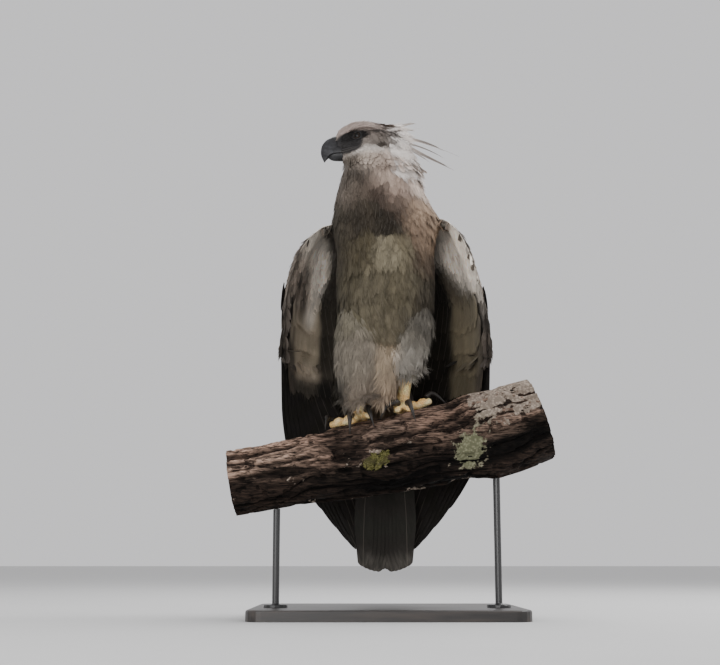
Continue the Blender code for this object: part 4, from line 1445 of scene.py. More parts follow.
def wing_grid(side, face, rows=150, columns=60):
    """The wing's outer face (1), middle (0) or inner face (-1), from the front edge to the back."""
    top = WING[0][0] - WING_DROP[side]
    heights = np.linspace(top, WING[-1][0], rows)
    drop = WING_DROP[side] * np.clip((heights - 0.2) / 0.5, 0, 1)
    values = value_at(WING, np.minimum(heights + drop, WING[0][0]))
    fx, fy, bx, by, bow, thick_front, thick_back = (values[:, k, None] for k in range(7))
    t = np.linspace(0.012, 0.995, columns)[None]
    run = np.stack([bx - fx, by - fy], axis=-1)
    out = unit(np.stack([run[..., 1], -run[..., 0]], axis=-1))
    middle = np.stack([fx, fy], axis=-1) + run * t[..., None] + out * (bow * 4 * t * (1 - t))[..., None]
    slope = run + out * (bow * 4 * (1 - 2 * t))[..., None]
    normal = unit(np.stack([slope[..., 1], -slope[..., 0]], axis=-1))
    thick = (thick_front + (thick_back - thick_front) * np.minimum(1, t * 2.2)) / 2
    # Both edges are round, over a tenth of the width in front and less behind
    inside = np.minimum(1, np.minimum(t / 0.10, (1 - t) / 0.06))
    edge = np.sqrt(np.maximum(0, 1 - (1 - inside) ** 2))
    flat = middle + normal * (face * thick * np.maximum(edge, 0.12))[..., None]
    tuck = 1 - WING_TUCK[side] * np.exp(-(((heights - TUCK_HEIGHT) / TUCK_REACH) ** 2))
    x = flat[..., 0] * side * tuck[:, None]
    return np.stack([x, flat[..., 1], np.broadcast_to(heights[:, None], x.shape)], axis=-1)


class Wing:
    """One wing's three sheets, with heights turned into places down the sheet."""

    def __init__(self, side):
        self.side = side
        self.outer = Sheet(wing_grid(side, 1))
        self.middle = Sheet(wing_grid(side, 0))
        self.inner = Sheet(wing_grid(side, -1))
        self.top = WING[0][0] - WING_DROP[side]
        # The sheets' normals point outwards on the outer face and inwards on the inner one
        self.outer.normal = self.outer.normal * side
        self.inner.normal = -self.inner.normal * side

    def down(self, height):
        return (self.top - np.asarray(height, float)) / (self.top - WING[-1][0])


def closed_vane(template_rows, columns, thickness, blunt):
    """A long feather as a closed thin body: a grid for each face, joined round its edge."""
    places, quads = [], []
    size = template_rows * columns
    for _ in (0, 1):
        for i in range(template_rows):
            for j in range(columns):
                across = 2 * j / (columns - 1) - 1
                along = i / (template_rows - 1)
                bend = 0.035 * (1 - across**2) * smooth(0.8, 1.0, along)
                width = float(vane_width(along * 0.985, blunt))
                places.append((across * max(width, 0.04), along * 0.965 + float(bend)))
    for i in range(template_rows - 1):
        for j in range(columns - 1):
            a = i * columns + j
            quads.append((a, a + 1, a + columns + 1, a + columns))
            quads.append((size + a, size + a + columns, size + a + columns + 1, size + a + 1))
    ring = list(range(columns)) + [i * columns + columns - 1 for i in range(1, template_rows)]
    ring += [(template_rows - 1) * columns + j for j in range(columns - 2, -1, -1)]
    ring += [i * columns for i in range(template_rows - 2, 0, -1)]
    for a, b in zip(ring, ring[1:] + ring[:1], strict=True):
        quads.append((a, size + a, size + b, b))
    made = Template(places, quads, turn=False)
    made.face = np.repeat((1.0, -1.0), size) * thickness / 2
    return made


def long_feathers(coat, sheet, rows, template, tint_of):
    """Lays long feathers on a sheet, one for each row of values.

    A row is u0, v0, u1, v1, width, root height, tip height.
    """
    values = np.array(rows, float)
    u0, v0, u1, v1, width, base, lift = values.T
    points, normals = sheet.lay(u0, v0, u1, v1, width, template, base, lift, 0.06)
    shaft = np.exp(-((template.places[:, 0] / 0.05) ** 2)) * 0.0009
    points = points + normals * (template.face + np.sign(template.face) * shaft)[None, :, None]
    facing = normals * np.sign(template.face)[None, :, None]
    tint = tint_of(points, template, np.sign(template.face))
    for k in range(len(values)):
        patch = strip_uv(k, len(values))
        coat.add(points[k : k + 1], facing[k : k + 1], tint[k : k + 1], template, patch[:1], patch[1])


def strip_uv(k, count):
    """A strip of the map for each long feather: its middle, and half its size."""
    return np.array([((k + 0.5) / count, 0.5), (0.42 / count, 0.48)])


def barred(points, template, face, dark, pale, bars, under):
    """Crossbars along a feather; underneath, the dark is paler and the bars take the under tone, which the
    callers darken as painted shade.
    """
    along = template.places[:, 1][None]
    wobble = 0.04 * (cloud(points, 0.012, 31) - 0.5) + 0.015 * np.abs(template.places[:, 0])[None]
    wave = 0.5 + 0.5 * np.cos((along + wobble) * bars * 2 * math.pi)
    amount = smooth(0.35, 0.75, wave)
    speck = cloud(points, 0.004, 32)
    top = blend(dark, pale, amount * (0.55 + 0.45 * speck))
    bottom = blend(np.array(dark) * 1.5, under, amount)
    return np.where((face < 0)[None, :, None], bottom, top) * (0.85 + 0.3 * speck)[..., None]


COVERT_EDGE = (0.075, 0.062, 0.052)


def coat_wing_skin(ground, wing, word, surface):
    """Small coverts planted on the upper wing, outside and inside."""
    coat = Coat(f"wing_{word}_small_coverts")
    templates = [vane_template(5, 4, 0.5, 6, 0.15) for _ in range(3)]
    templates += [contour_template(6, 0.8, 0.42) for _ in range(4)]
    region = ground.region == f"wing_{word}_coverts"
    roots, normals = ground.scatter(region, lambda p: 0.0060 - 0.0018 * smooth(0.60, 0.66, p[:, 2]))
    keep = (roots[:, 2] > 0.500) & (normals[:, 2] > -0.45)
    roots, normals = roots[keep], normals[keep]
    count = len(roots)
    facing_out = smooth(-0.10, 0.30, normals[:, 0] * wing.side + 0.9 * normals[:, 1])
    flow = tangent(np.stack([np.zeros(count), 0.30 * facing_out, -np.ones(count)], axis=1), normals)
    flow = wander(flow, normals, 12)
    high = smooth(0.60, 0.68, roots[:, 2])
    low = smooth(0.66, 0.55, roots[:, 2])
    length = 0.028 * between(count, 0.75, 1.2) * (1 + 0.30 * low) * (1 - 0.35 * high)
    width = length * between(count, 0.38, 0.54)
    lift = np.radians(5) * between(count, 0.5, 1.5)
    seen = seen_at(roots, flow, length)
    tint = blend(under_wing_tint(seen), outer_wing_tint(seen), facing_out)
    edge = smooth(0.163, 0.178, np.abs(seen[:, 0])) * smooth(0.62, 0.58, seen[:, 2])
    tint = blend(tint, COVERT_EDGE, 0.85 * edge)
    tint = tint * between(count, 0.84, 1.16)[:, None]
    plant_variants(coat, templates, roots, normals, flow, length, width, lift, tint, (0.9, 1.14, 0.86),
                   wing_map(wing, roots, facing_out), soft=0.6)
    coat.build(surface, "plumage_grey")


def covert_rows(coat, wing, sheet, template, rows, tint_of):
    """Lays rows of larger coverts on one face of the wing."""
    for tip, length, count, u_from, u_to, base, lift in rows:
        u = np.linspace(u_from, u_to, count) + between(count, -0.008, 0.008)
        long = length * between(count, 0.93, 1.07)
        tips = tip + between(count, -0.006, 0.006)
        v1 = wing.down(tips)
        v0 = wing.down(tips + long)
        wide = np.full(count, 1.9 * (u_to - u_from) * float(np.mean(sheet.width_at(v1))) / count)
        bases = base + between(count, 0, 0.0006)
        lifts = lift + between(count, 0, 0.0012)
        points, normals = sheet.lay(u - 0.03, v0, u, v1, wide, template, bases, lifts, 0.10)
        tint = tint_of(points, template)
        across = 0.03 + 0.44 * u + 0.50 * (sheet is wing.outer)
        uv = np.stack([across, 0.95 - 0.9 * v0], axis=1)
        coat.add(points, normals, tint, template, uv, 0.004)


COVERT_DARK = (0.065, 0.055, 0.048)
COVERT_PALE = (0.185, 0.160, 0.142)
COVERT_FRINGE = (0.34, 0.305, 0.27)


def covert_marks(points, template):
    """Brown-grey coverts: dark along the shaft, pale at the fringe, finely mottled."""
    across, along = template.places.T
    fringe = smooth(0.72, 0.98, np.maximum(np.abs(across), along))[None]
    speck = cloud(points, 0.005, 41)
    patch = cloud(points, 0.03, 42)
    colour = blend(COVERT_DARK, COVERT_PALE, smooth(0.35, 0.8, 0.6 * speck + 0.5 * patch))
    colour = blend(colour, COVERT_FRINGE, fringe * 0.7)
    return colour * (1 - 0.52 * smooth(0.07, 0.01, points[..., 1]))[..., None]


def under_marks(points, template):
    """Underwing coverts: the inner face's own colours with soft pale tips."""
    along = template.places[:, 1]
    colour = under_wing_tint(points)
    return colour * (1 + 0.25 * smooth(0.75, 1.0, along))[None, :, None]


# Rows of coverts: height of the tips, length, count, u from, u to, height off the wing at root and tip
OUTER_COVERTS = (
    (0.425, 0.105, 14, 0.27, 0.95, -0.0040, -0.0008),
    (0.460, 0.095, 15, 0.24, 0.95, -0.0036, -0.0004),
    (0.500, 0.085, 17, 0.20, 0.95, -0.0030, 0.0000),
    (0.540, 0.060, 19, 0.17, 0.95, -0.0020, 0.0006),
    (0.575, 0.048, 21, 0.15, 0.95, -0.0012, 0.0010),
)
INNER_COVERTS = (
    (0.425, 0.095, 12, 0.12, 0.90, -0.0030, 0.0012),
    (0.462, 0.080, 13, 0.11, 0.92, -0.0022, 0.0016),
    (0.505, 0.065, 15, 0.10, 0.95, -0.0016, 0.0020),
    (0.550, 0.050, 17, 0.10, 0.95, -0.0012, 0.0022),
)


def coat_wing_rows(wing, word, surface):
    """Rows of larger coverts on both faces of the wing."""
    coat = Coat(f"wing_{word}_coverts_rows")
    template = vane_template(9, 7, 0.7, 12, 0.06)
    covert_rows(coat, wing, wing.outer, template, OUTER_COVERTS, covert_marks)
    covert_rows(coat, wing, wing.inner, template, INNER_COVERTS, under_marks)
    coat.build(surface, "plumage_grey", f"wing_{word}_flight_feathers")


# Flight feathers: dark brown made darker still as painted shade, most of all underneath
FLIGHT_DARK = (0.012, 0.010, 0.009)
FLIGHT_PALE = (0.075, 0.064, 0.054)
FLIGHT_UNDER_SHADED = (0.015, 0.013, 0.010)
# Heights of the primaries' tips, from the wing's front edge backwards
PRIMARY_TIPS = (0.205, 0.165, 0.140, 0.127, 0.132, 0.150, 0.175, 0.205, 0.240, 0.275)
SECONDARIES = 13


def coat_flight(wing, word, surface):
    """Primaries along the wing's front edge down to its point, secondaries behind them."""
    coat = Coat(f"wing_{word}_long_feathers")
    template = closed_vane(26, 9, 0.0009, 0.90)

    def tint_of(points, template, face):
        return barred(points, template, face, FLIGHT_DARK, FLIGHT_PALE, 6, FLIGHT_UNDER_SHADED)

    rows = []
    for k, tip in enumerate(PRIMARY_TIPS):
        share = k / (len(PRIMARY_TIPS) - 1)
        u0, u1 = 0.09 + 0.31 * share, 0.09 + 0.81 * share
        height = -0.0012 - 0.0009 * k
        top = wing.down(0.500 + 0.006 * k)
        rows.append((u0, top, u1, wing.down(tip), 0.036, height - 0.0015, height))
    for k in range(SECONDARIES):
        share = k / (SECONDARIES - 1)
        tip = 0.300 + 0.045 * share + 0.006 * math.sin(5 * share)
        u = 0.34 + 0.62 * share
        height = -0.0046 + 0.00025 * k
        rows.append((u - 0.06, wing.down(0.56), u, wing.down(tip), 0.046, -0.0068, height))
    long_feathers(coat, wing.outer, rows, template, tint_of)
    coat.build(surface, "plumage_dark")


TAIL_DARK = (0.018, 0.016, 0.014)
TAIL_PALE = (0.085, 0.077, 0.068)
# The tail's underside, darkened as painted shade
TAIL_UNDER_SHADED = (0.026, 0.025, 0.021)
TAIL_TIP = (0.14, 0.125, 0.11)
# Tail coverts: face, tint, then height down the tail and count of each row
TAIL_COVERTS = ((1.0, (0.15, 0.13, 0.115)), (-1.0, (0.36, 0.33, 0.28)))
TAIL_COVERT_ROWS = ((0.42, 7), (0.34, 8), (0.26, 8), (0.18, 8), (0.10, 8))


def make_tail(surface):
    """Twelve tail feathers in a shallow arch, and soft coverts over their roots."""
    rows, columns = 120, 40
    heights = np.linspace(TAIL[0][0], TAIL[-1][0] - 0.002, rows)
    half = value_at(TAIL[:6], heights)[:, 1]
    half = np.where(heights < TAIL[5][0], TAIL[5][2] - 0.10 * (TAIL[5][0] - heights), half)
    centre = value_at(TAIL, heights)[:, 0]
    across = np.linspace(-1, 1, columns)
    x = half[:, None] * across
    y = centre[:, None] + 0.012 * (1 - across**2) - 0.006
    sheet = Sheet(np.stack([x, y, np.broadcast_to(heights[:, None], x.shape)], axis=-1))
    sheet.normal = sheet.normal * np.sign(sheet.normal[rows // 2, columns // 2, 1])
    coat = Coat("tail_feathers")
    template = closed_vane(30, 9, 0.0010, 0.90)

    def tint_of(points, template, face):
        colour = barred(points, template, face, TAIL_DARK, TAIL_PALE, 5, TAIL_UNDER_SHADED)
        tip = smooth(0.90, 0.97, template.places[:, 1])[None] * cloud(points, 0.004, 33)
        return blend(colour, TAIL_TIP, 0.8 * tip)

    made = []
    for pair in range(6):
        for way in (-1, 1):
            place = 0.5 + way * (0.05 + 0.36 * pair / 5)
            height = 0.0035 - 0.0012 * pair + 0.0003 * way
            tip = 0.985 - 0.030 * (pair / 5) ** 2 - 0.012 * (pair == 0)
            made.append((0.5 + way * 0.03 * pair, 0.0, place, tip, 0.040, height, height))
    long_feathers(coat, sheet, made, template, tint_of)
    soft = vane_template(7, 5, 0.5, 10, 0.15)
    for face, tint in TAIL_COVERTS:
        for v1, count in TAIL_COVERT_ROWS:
            u = np.linspace(0.10, 0.90, count) + between(count, -0.02, 0.02)
            ends = v1 + between(count, -0.02, 0.02)
            width = np.full(count, 0.030)
            base = np.full(count, 0.0055 * face)
            root = u * 0.6 + 0.2, ends - 0.17
            points, normals = sheet.lay(*root, u, ends, width, soft, base, base * 1.5, 0.10)
            shade = (0.75 + 0.5 * cloud(points, 0.006, 51))[..., None]
            uv = np.stack([0.05 + 0.9 * u, 0.05 + 0.9 * ends], axis=1)
            coat.add(points, normals * face, np.array(tint) * shade, soft, uv, 0.006)
    coat.build(surface, "plumage_grey", "tail")


# Crest feathers in the head's frame: side, height, raise, turn, roll, length, width
CREST = (
    (0.000, 0.028, 18, 4, 30, 0.038, 0.008),
    (-0.008, 0.026, 8, -6, 20, 0.034, 0.007),
    (0.012, 0.022, 26, 10, 20, 0.030, 0.007),
    (0.010, 0.012, 18, 8, -30, 0.048, 0.008),
    (-0.012, 0.010, -3, -8, 35, 0.088, 0.0095),
    (0.004, 0.006, -12, 4, -25, 0.112, 0.0105),
    (-0.006, 0.000, -21, -4, 30, 0.108, 0.0105),
    (-0.002, 0.003, -16, 2, 10, 0.086, 0.0080),
    (0.018, -0.008, -32, 12, -45, 0.066, 0.010),
    (-0.016, -0.010, -42, -8, 45, 0.056, 0.010),
)
CREST_ROOT = -0.050
CREST_BASE = (0.66, 0.60, 0.55)
CREST_GREY = (0.24, 0.215, 0.20)
CREST_FRINGE = (0.55, 0.50, 0.46)


def make_crest(surface):
    """The ragged double crest, its long grey feathers blown back from the nape."""
    coat = Coat("crest_feathers")
    template = vane_template(16, 5, 0.30, 40, 0.25)
    across, along = template.places.T
    for k, (side, height, raised, turned, rolled, length, width) in enumerate(CREST):
        up, out, roll = (math.radians(v) for v in (raised, turned, rolled))
        run = Vector((-math.cos(up) * math.cos(out), math.sin(out), math.sin(up)))
        level = run.cross(Vector((0, 0, 1))).normalized()
        flat = level * math.cos(roll) + level.cross(run).normalized() * math.sin(roll)
        x = across * width / 2 * (1.05 - 0.65 * along)
        y = length * along
        points = (
            np.array((CREST_ROOT, side, height))
            + np.outer(y, np.array(run))
            + np.outer(x, np.array(flat))
            - np.outer(0.13 * length * along**2, np.array((0.0, 0.0, 1.0)))
            + np.outer(0.05 * length * np.sin(3.2 * along + 1.7 * k) * along, np.array(flat))
        )
        world = to_world(points)
        normal = unit(np.cross(np.array(run), np.array(flat)))
        normals = np.broadcast_to(normal * HALF_TURN, world.shape)
        dark = smooth(0.25, 0.6, along)
        tint = blend(CREST_BASE, CREST_GREY, dark * (1.0 if length > 0.06 else 0.3))
        tint = blend(tint, CREST_FRINGE, 0.6 * smooth(0.45, 0.9, np.abs(across)))
        uv = np.array([[(k + 0.5) / len(CREST), 0.5]])
        coat.add(world[None], normals[None], tint[None], template, uv, (0.4 / len(CREST), 0.4))
    coat.build(surface, "plumage_grey", "crest")


# Bill, eyes and lids


def bill_rings(stations, count, around, upper):
    """Rings along a jaw: a dome for the upper one or a trough for the lower, flat where they meet."""
    flat = [(top[0], top[1], low[0], low[1], wide) for top, low, wide in stations]
    turn = np.linspace(0, 2 * math.pi, around, endpoint=False)
    cos = np.cos(turn)
    if upper:
        height = np.where(cos > 0, cos, 0.10 * cos)
        side = np.sin(turn) * np.where(cos > 0, 1 - 0.16 * cos, 1.0)
    else:
        height = 1 + np.where(cos < 0, cos, 0.04 * cos)
        side = np.sin(turn)
    rings = []
    for tx, tz, lx, lz, wide in curve_through(flat, count):
        rings.append(np.stack([lx + (tx - lx) * height, wide * side, lz + (tz - lz) * height], axis=1))
    return np.array(rings)


# The nostril in the head's frame, forwards and up
NOSTRIL = (0.0665, -0.0100)
NOSTRIL_REACH = (0.0016, 0.0034)


def make_bill():
    """Both jaws. The upper one carries a soft cere with a slit nostril at its base."""
    horn = horn_material("bill_horn", (0.010, 0.0095, 0.0105), (0.030, 0.0295, 0.032), 0.40)
    rings = bill_rings(UPPER_BILL, 64, 48, True)
    f, s, u = rings[..., 0], rings[..., 1], rings[..., 2]
    # The cere ends in a low step, and the horn in front of it stands a little lower
    cere = smooth(0.0775, 0.0745, f - 0.10 * (u + 0.01))
    rings = scaled(rings, (0.955 + 0.040 * cere)[..., None])
    slit = mound(f, u - 0.6 * (f - NOSTRIL[0]), NOSTRIL, NOSTRIL_REACH)
    rings[..., 1] -= np.sign(s) * slit * 0.0028 * (np.abs(s) > 0.004)
    # A shallow wave along the cutting edge
    edge = smooth(0.25, 0.0, (u - u.min(axis=1, keepdims=True)) / np.ptp(u, axis=1)[:, None])
    rings[..., 2] -= 0.0010 * np.sin((f - 0.05) * 190) * edge * smooth(0.088, 0.080, f)
    mesh = loft_mesh("bill_upper_horn", to_world(rings))
    tint = blend((1.35, 1.38, 1.45), (0.75, 0.72, 0.72), cere.ravel())
    # Painted shade in the nostril's slit
    tint = blend(tint, (0.25, 0.25, 0.25), np.clip(slit.ravel() * 1.5, 0, 1))
    tint = blend(tint, (0.45, 0.45, 0.47), smooth(-0.028, -0.042, u.ravel()) * 0.6)
    colour_attribute(mesh, "tint", tint)
    make_object("bill_upper_horn", mesh, horn, "bill", "bill_upper")
    rings = scaled(bill_rings(LOWER_BILL, 40, 40, False), np.array((1.0, 0.94, 0.97)))
    mesh = loft_mesh("bill_lower_horn", to_world(rings))
    colour_attribute(mesh, "tint", 0.45)
    make_object("bill_lower_horn", mesh, horn, "bill", "bill_lower")


# Where the lips keep out of the bill: forwards, and half its width there
LIP_SIDE = ((0.046, 0.0172), (0.058, 0.0160), (0.074, 0.0130))
# Lips: name, rise at the bill, radius and tint
LIPS = (
    ("upper", 0.0013, 0.0019, (0.030, 0.027, 0.026)),
    ("lower", -0.0017, 0.0017, (0.045, 0.040, 0.037)),
)


def make_lips(skin):
    """The soft corners of the mouth, which run back from the bill under the eyes."""
    surface = skin.data.materials[0]
    tree = search_tree(skin.data)
    for side, word in SIDES:
        for name, rise, radius, tone in LIPS:
            path, radii = [], []
            for t in np.linspace(0, 1, 24):
                f = 0.060 - 0.036 * t
                u = -0.0258 + 0.0030 * t + rise * (1 - t**3)
                start = head_place((f, -side * 0.09, u))
                hit = tree.ray_cast(start, Vector((0.0, -side, 0.0)))[0]
                wide = np.interp(f, *np.transpose(LIP_SIDE))
                surface_y = abs(hit.y - HEAD_CENTRE.y) if hit else 0.0
                path.append(head_place((f, -side * max(surface_y, wide), u)))
                radii.append(radius * (1 - 0.7 * t**4) * min(1.0, 0.45 + 4 * t))
            mesh = loft_mesh(f"lip_{word}_{name}", tube_rings(path, radii, 14))
            colour_attribute(mesh, "tint", tone)
            make_object(f"lip_{word}_{name}", mesh, surface, "plumage_pale")


PUPIL = (0.001, 0.001, 0.001)
# Iris dark brown, and both it and the eye's white darkened as painted shade under the brow
IRIS_DARK, IRIS_PALE = (0.009, 0.006, 0.004), (0.022, 0.013, 0.008)
EYE_WHITE_SHADED = (0.004, 0.0035, 0.0035)  # as dark as the iris, as painted shade
LID_TONE = (0.012, 0.011, 0.011)
# The opening between the lids in degrees from the gaze: sideways, below and above
LID_SIDE, LID_LOW, LID_HIGH = 43, 33, 22


def make_eyes(surface):
    """Bulging wet eyes, each in a rim of the given surface."""
    wet = eye_material()
    for side, word in SIDES:
        # The bill points to -X, so the bird's right eye looks to the front
        centre = head_place((EYE_PLACE[0], -side * EYE_PLACE[1], EYE_PLACE[2]))
        gaze = Vector((-0.38, side * 0.92, -0.04)).normalized()
        mesh = ball_mesh(f"eye_{word}_ball", 5, EYE_RADIUS)
        points = points_of(mesh)
        facing = unit(points) @ np.array(gaze)
        points = points * (1 + 0.035 * smooth(0.75, 0.95, facing))[:, None]
        set_points(mesh, points + np.array(centre))
        angle = np.degrees(np.arccos(np.clip(facing, -1, 1)))
        ray = cloud(points, 0.0012, 61)
        tint = blend(IRIS_DARK, IRIS_PALE, ray)
        tint = blend(tint, EYE_WHITE_SHADED, smooth(34, 42, angle))
        tint = blend(PUPIL, tint, smooth(19, 22, angle))
        colour_attribute(mesh, "tint", tint)
        mesh.shade_smooth()
        make_object(f"eye_{word}_ball", mesh, wet, "eye", f"eye_{word}")
        make_lid(word, centre, gaze, surface)


def make_lid(word, centre, gaze, surface):
    """A thick dark rim round the eye that runs out under the face feathers."""
    up = Vector((0, 0, 1))
    across = gaze.cross(up).normalized()
    up = across.cross(gaze).normalized()
    around, rows = 72, 12
    rings = []
    for i in range(rows):
        t = i / (rows - 1)
        ring = []
        for k in range(around):
            a = 2 * math.pi * k / around
            high = LID_LOW if math.sin(a) < 0 else LID_HIGH - 5 * math.cos(a)
            aperture = math.hypot(math.cos(a) * LID_SIDE, math.sin(a) * high)
            angle = math.radians(aperture + t * 40)
            fold = 0.0006 * math.sin(math.pi * min(1, t * 3.0)) + 0.0002 * math.sin(t * 18)
            over = 0.0010 * max(0.0, math.sin(a)) * (1 - t)
            radius = EYE_RADIUS * 1.012 + 0.0002 + fold * (1 - 0.4 * t) + over - 0.0008 * t
            way = gaze * math.cos(angle) + (across * math.cos(a) + up * math.sin(a)) * math.sin(angle)
            ring.append(np.array(centre + way * radius))
        rings.append(ring)
    faces = loft_faces(rows, around)[:-2]
    mesh = mesh_of(f"lid_{word}", rings, faces)
    colour_attribute(mesh, "tint", LID_TONE)
    make_object(f"lid_{word}", mesh, surface, "plumage_pale")


# Legs, toes and claws


LEG_YELLOW, LEG_DUSTY = (1.0, 0.76, 0.38), (1.0, 0.78, 0.48)
CLAW_ROOT = 0.008  # how far inside the toe's end a claw starts
# The middle claws are paler than the rest
PALE_CLAW, CLAW_TINT, CLAW_TIP = (3.4, 3.2, 2.9), (1.0, 1.0, 1.0), (0.45, 0.45, 0.45)


def walk(start, heading, length, side):
    """Where a step over the branch ends, as (x, turn). A heading of 90 leads away from the middle."""
    along, turn = start
    angle = math.radians(heading)
    return (
        along + side * length * math.sin(angle),
        turn + length * math.cos(angle) / (float(perch_radius(along)) + TOE_RADIUS),
    )


def toe_mesh(side, heading, length, raised):
    """A toe: broad scutes across its top, and round pads underneath."""
    count, around = 90, 28
    points, radii = [], []
    for i in range(count):
        t = i / (count - 1)
        along, turn = walk((FOOT_AT[side], FOOT_FORWARD), heading, length * t, side)
        radius = TOE_RADIUS * (1 + 0.13 * math.sin(6 * math.pi * t + 0.8)) * (1.10 - 0.26 * t)
        points.append(on_perch(along, turn, radius + CLEAR + raised * t**1.5))
        radii.append(radius * math.sqrt(1 - 0.96 * max(0.0, (t - 0.87) / 0.13) ** 2))
    rings = tube_rings(points, np.array(radii) * 0.97, around)
    turn = np.linspace(0, 2 * math.pi, around, endpoint=False)[None]
    t = np.linspace(0, 1, count)[:, None]
    scutes = max(5, int(length / 0.0052))
    ridge = np.abs(np.sin(math.pi * scutes * t)) ** 0.45
    top = smooth(-0.1, 0.5, np.sin(turn))
    return loft_mesh("toe", scaled(rings, (1 + 0.16 * (ridge - 1) * top)[..., None]))


def ankle(side):
    """The middle of a foot's palm."""
    return Vector(on_perch(FOOT_AT[side], FOOT_FORWARD, PALM_RADIUS).tolist())


def tarsus_mesh(side):
    """The bare shank, with wide scutes down its front."""
    low, top = np.array(ankle(side)), np.array(TARSUS_TOP[side])
    count, around = 110, 36
    t = np.linspace(-0.1, 1.0, count)
    path = low + (top - low) * t[:, None]
    radii = TARSUS_RADIUS * (1.0 + 0.16 * (2 * np.abs(t - 0.5)) ** 2) * 0.98
    rings = tube_rings(path, radii, around, up=(0, 1, 0))
    out = unit(rings - rings.mean(axis=1, keepdims=True))
    scutes = max(6, int(np.linalg.norm(top - low) / 0.0075))
    ridge = np.abs(np.sin(math.pi * scutes * t))[:, None] ** 0.35
    front = smooth(-0.2, 0.5, -out[..., 1])
    return loft_mesh("tarsus", scaled(rings, (1 + 0.09 * (ridge - 1) * front)[..., None]))


def claw_rings(side, toe, radius):
    """A claw from inside the toe's end down to a point on the bark."""
    heading, length, raised, claw_heading, claw = toe
    start = walk((FOOT_AT[side], FOOT_FORWARD), heading, length - CLAW_ROOT, side)
    count = 40
    points, radii = [], []
    for i in range(count):
        t = i / (count - 1)
        turned = heading + (claw_heading - heading) * min(1.0, 2 * t)
        along, turn = walk(start, turned, (claw + CLAW_ROOT) * t, side)
        size = max(radius * (1 - t**1.8), 0.0005)
        bend = 0.009 * math.sin(math.pi * t) * (1 - 0.3 * t)
        arch = (TOE_RADIUS + 0.001 + raised) * (1 - t**2.2) + bend
        points.append(on_perch(along, turn, arch + size + CLEAR))
        radii.append(size)
    return tube_rings(points, radii, 20)


def make_legs():
    scales = leg_material()
    talon = horn_material("claw_horn", (0.011, 0.009, 0.007), (0.040, 0.032, 0.026), 0.45)
    for side, word in SIDES:
        palm = ball_mesh("palm", 4, PALM_RADIUS * 0.98)
        set_points(palm, points_of(palm) * np.array((1.0, 1.0, 0.92)) + np.array(ankle(side)))
        meshes = [palm, tarsus_mesh(side)] + [toe_mesh(side, *toe[:3]) for toe in TOES[side]]
        mesh = blended(f"leg_{word}_scaled", meshes, 0.00075, 1)
        points = points_of(mesh)
        near = smooth(0.05, 0.0, points[:, 2] - float(ankle(side).z))
        dusty = cloud(points, 0.014, 71)
        speckle = 0.95 + 0.3 * cloud(points, 0.005, 72)
        tint = blend(LEG_YELLOW, LEG_DUSTY, near * dusty) * speckle[:, None]
        colour_attribute(mesh, "tint", np.minimum(tint, 1))
        make_object(f"leg_{word}_scaled", mesh, scales, "leg_skin", f"foot_{word}", f"tarsus_{word}")
        for toe, radius, name in zip(TOES[side], CLAW_RADII, TOE_NAMES, strict=True):
            rings = claw_rings(side, toe, radius)
            mesh = loft_mesh(f"talon_{word}_{name}", rings)
            along = np.repeat(np.linspace(0, 1, len(rings)), rings.shape[1])
            base = PALE_CLAW if name == "middle" else CLAW_TINT
            colour_attribute(mesh, "tint", blend(base, CLAW_TIP, smooth(0.1, 0.8, along)))
            make_object(f"talon_{word}_{name}", mesh, talon, "claw", f"claw_{word}_{name}")


# The branch


def growth_at(points, turn):
    """Lichen, moss, and how green the lichen is, as masks over the bark."""
    x = points[..., 0]
    turn = np.mod(turn + 0.5, 2 * math.pi) - 0.5
    blotch = cloud(points, 0.022, 81)
    jag = blotch - 0.5
    pale = smooth(0.135, 0.165, x + 0.03 * jag) * smooth(1.60, 1.15, turn + 1.2 * jag)
    pale = pale * (0.62 + 0.5 * cloud(points, 0.012, 85))
    green = mound(x, turn, (0.152, 1.95), (0.034, 0.62))
    thin = 0.34 * smooth(0.6, 0.85, cloud(points, 0.035, 82))
    behind = 0.55 * smooth(2.6, 3.4, turn) * smooth(0.5, 0.75, cloud(points, 0.05, 83))
    crest = 0.75 * mound(x, turn, (-0.020, 1.50), (0.022, 0.10))
    lichen = np.max([0.80 * pale, 0.95 * green, thin, behind, crest], axis=0)
    spot = np.hypot((x + 0.025) / 0.030, (turn - 1.72) / 0.24)
    moss = 1 - smooth(0.55, 1.15, spot + 0.6 * jag)
    return np.clip(lichen, 0, 1), np.clip(moss, 0, 1), np.clip(green * 1.6, 0, 1)


# Bark tint by depth: the bark's own darker furrows and paler ridges, with painted shade deep in the furrows
# and a painted highlight on the ridges
FURROW_SHADED, RIDGE_LIT = (0.16, 0.14, 0.13), (1.45, 1.30, 1.22)
COOL_BARK, WARM_BARK = (0.80, 0.80, 0.76), (1.22, 1.10, 1.02)
BARK_WRAP = 0.075
MOSS_DARK, MOSS_PALE = (0.14, 0.13, 0.035), (0.34, 0.31, 0.13)


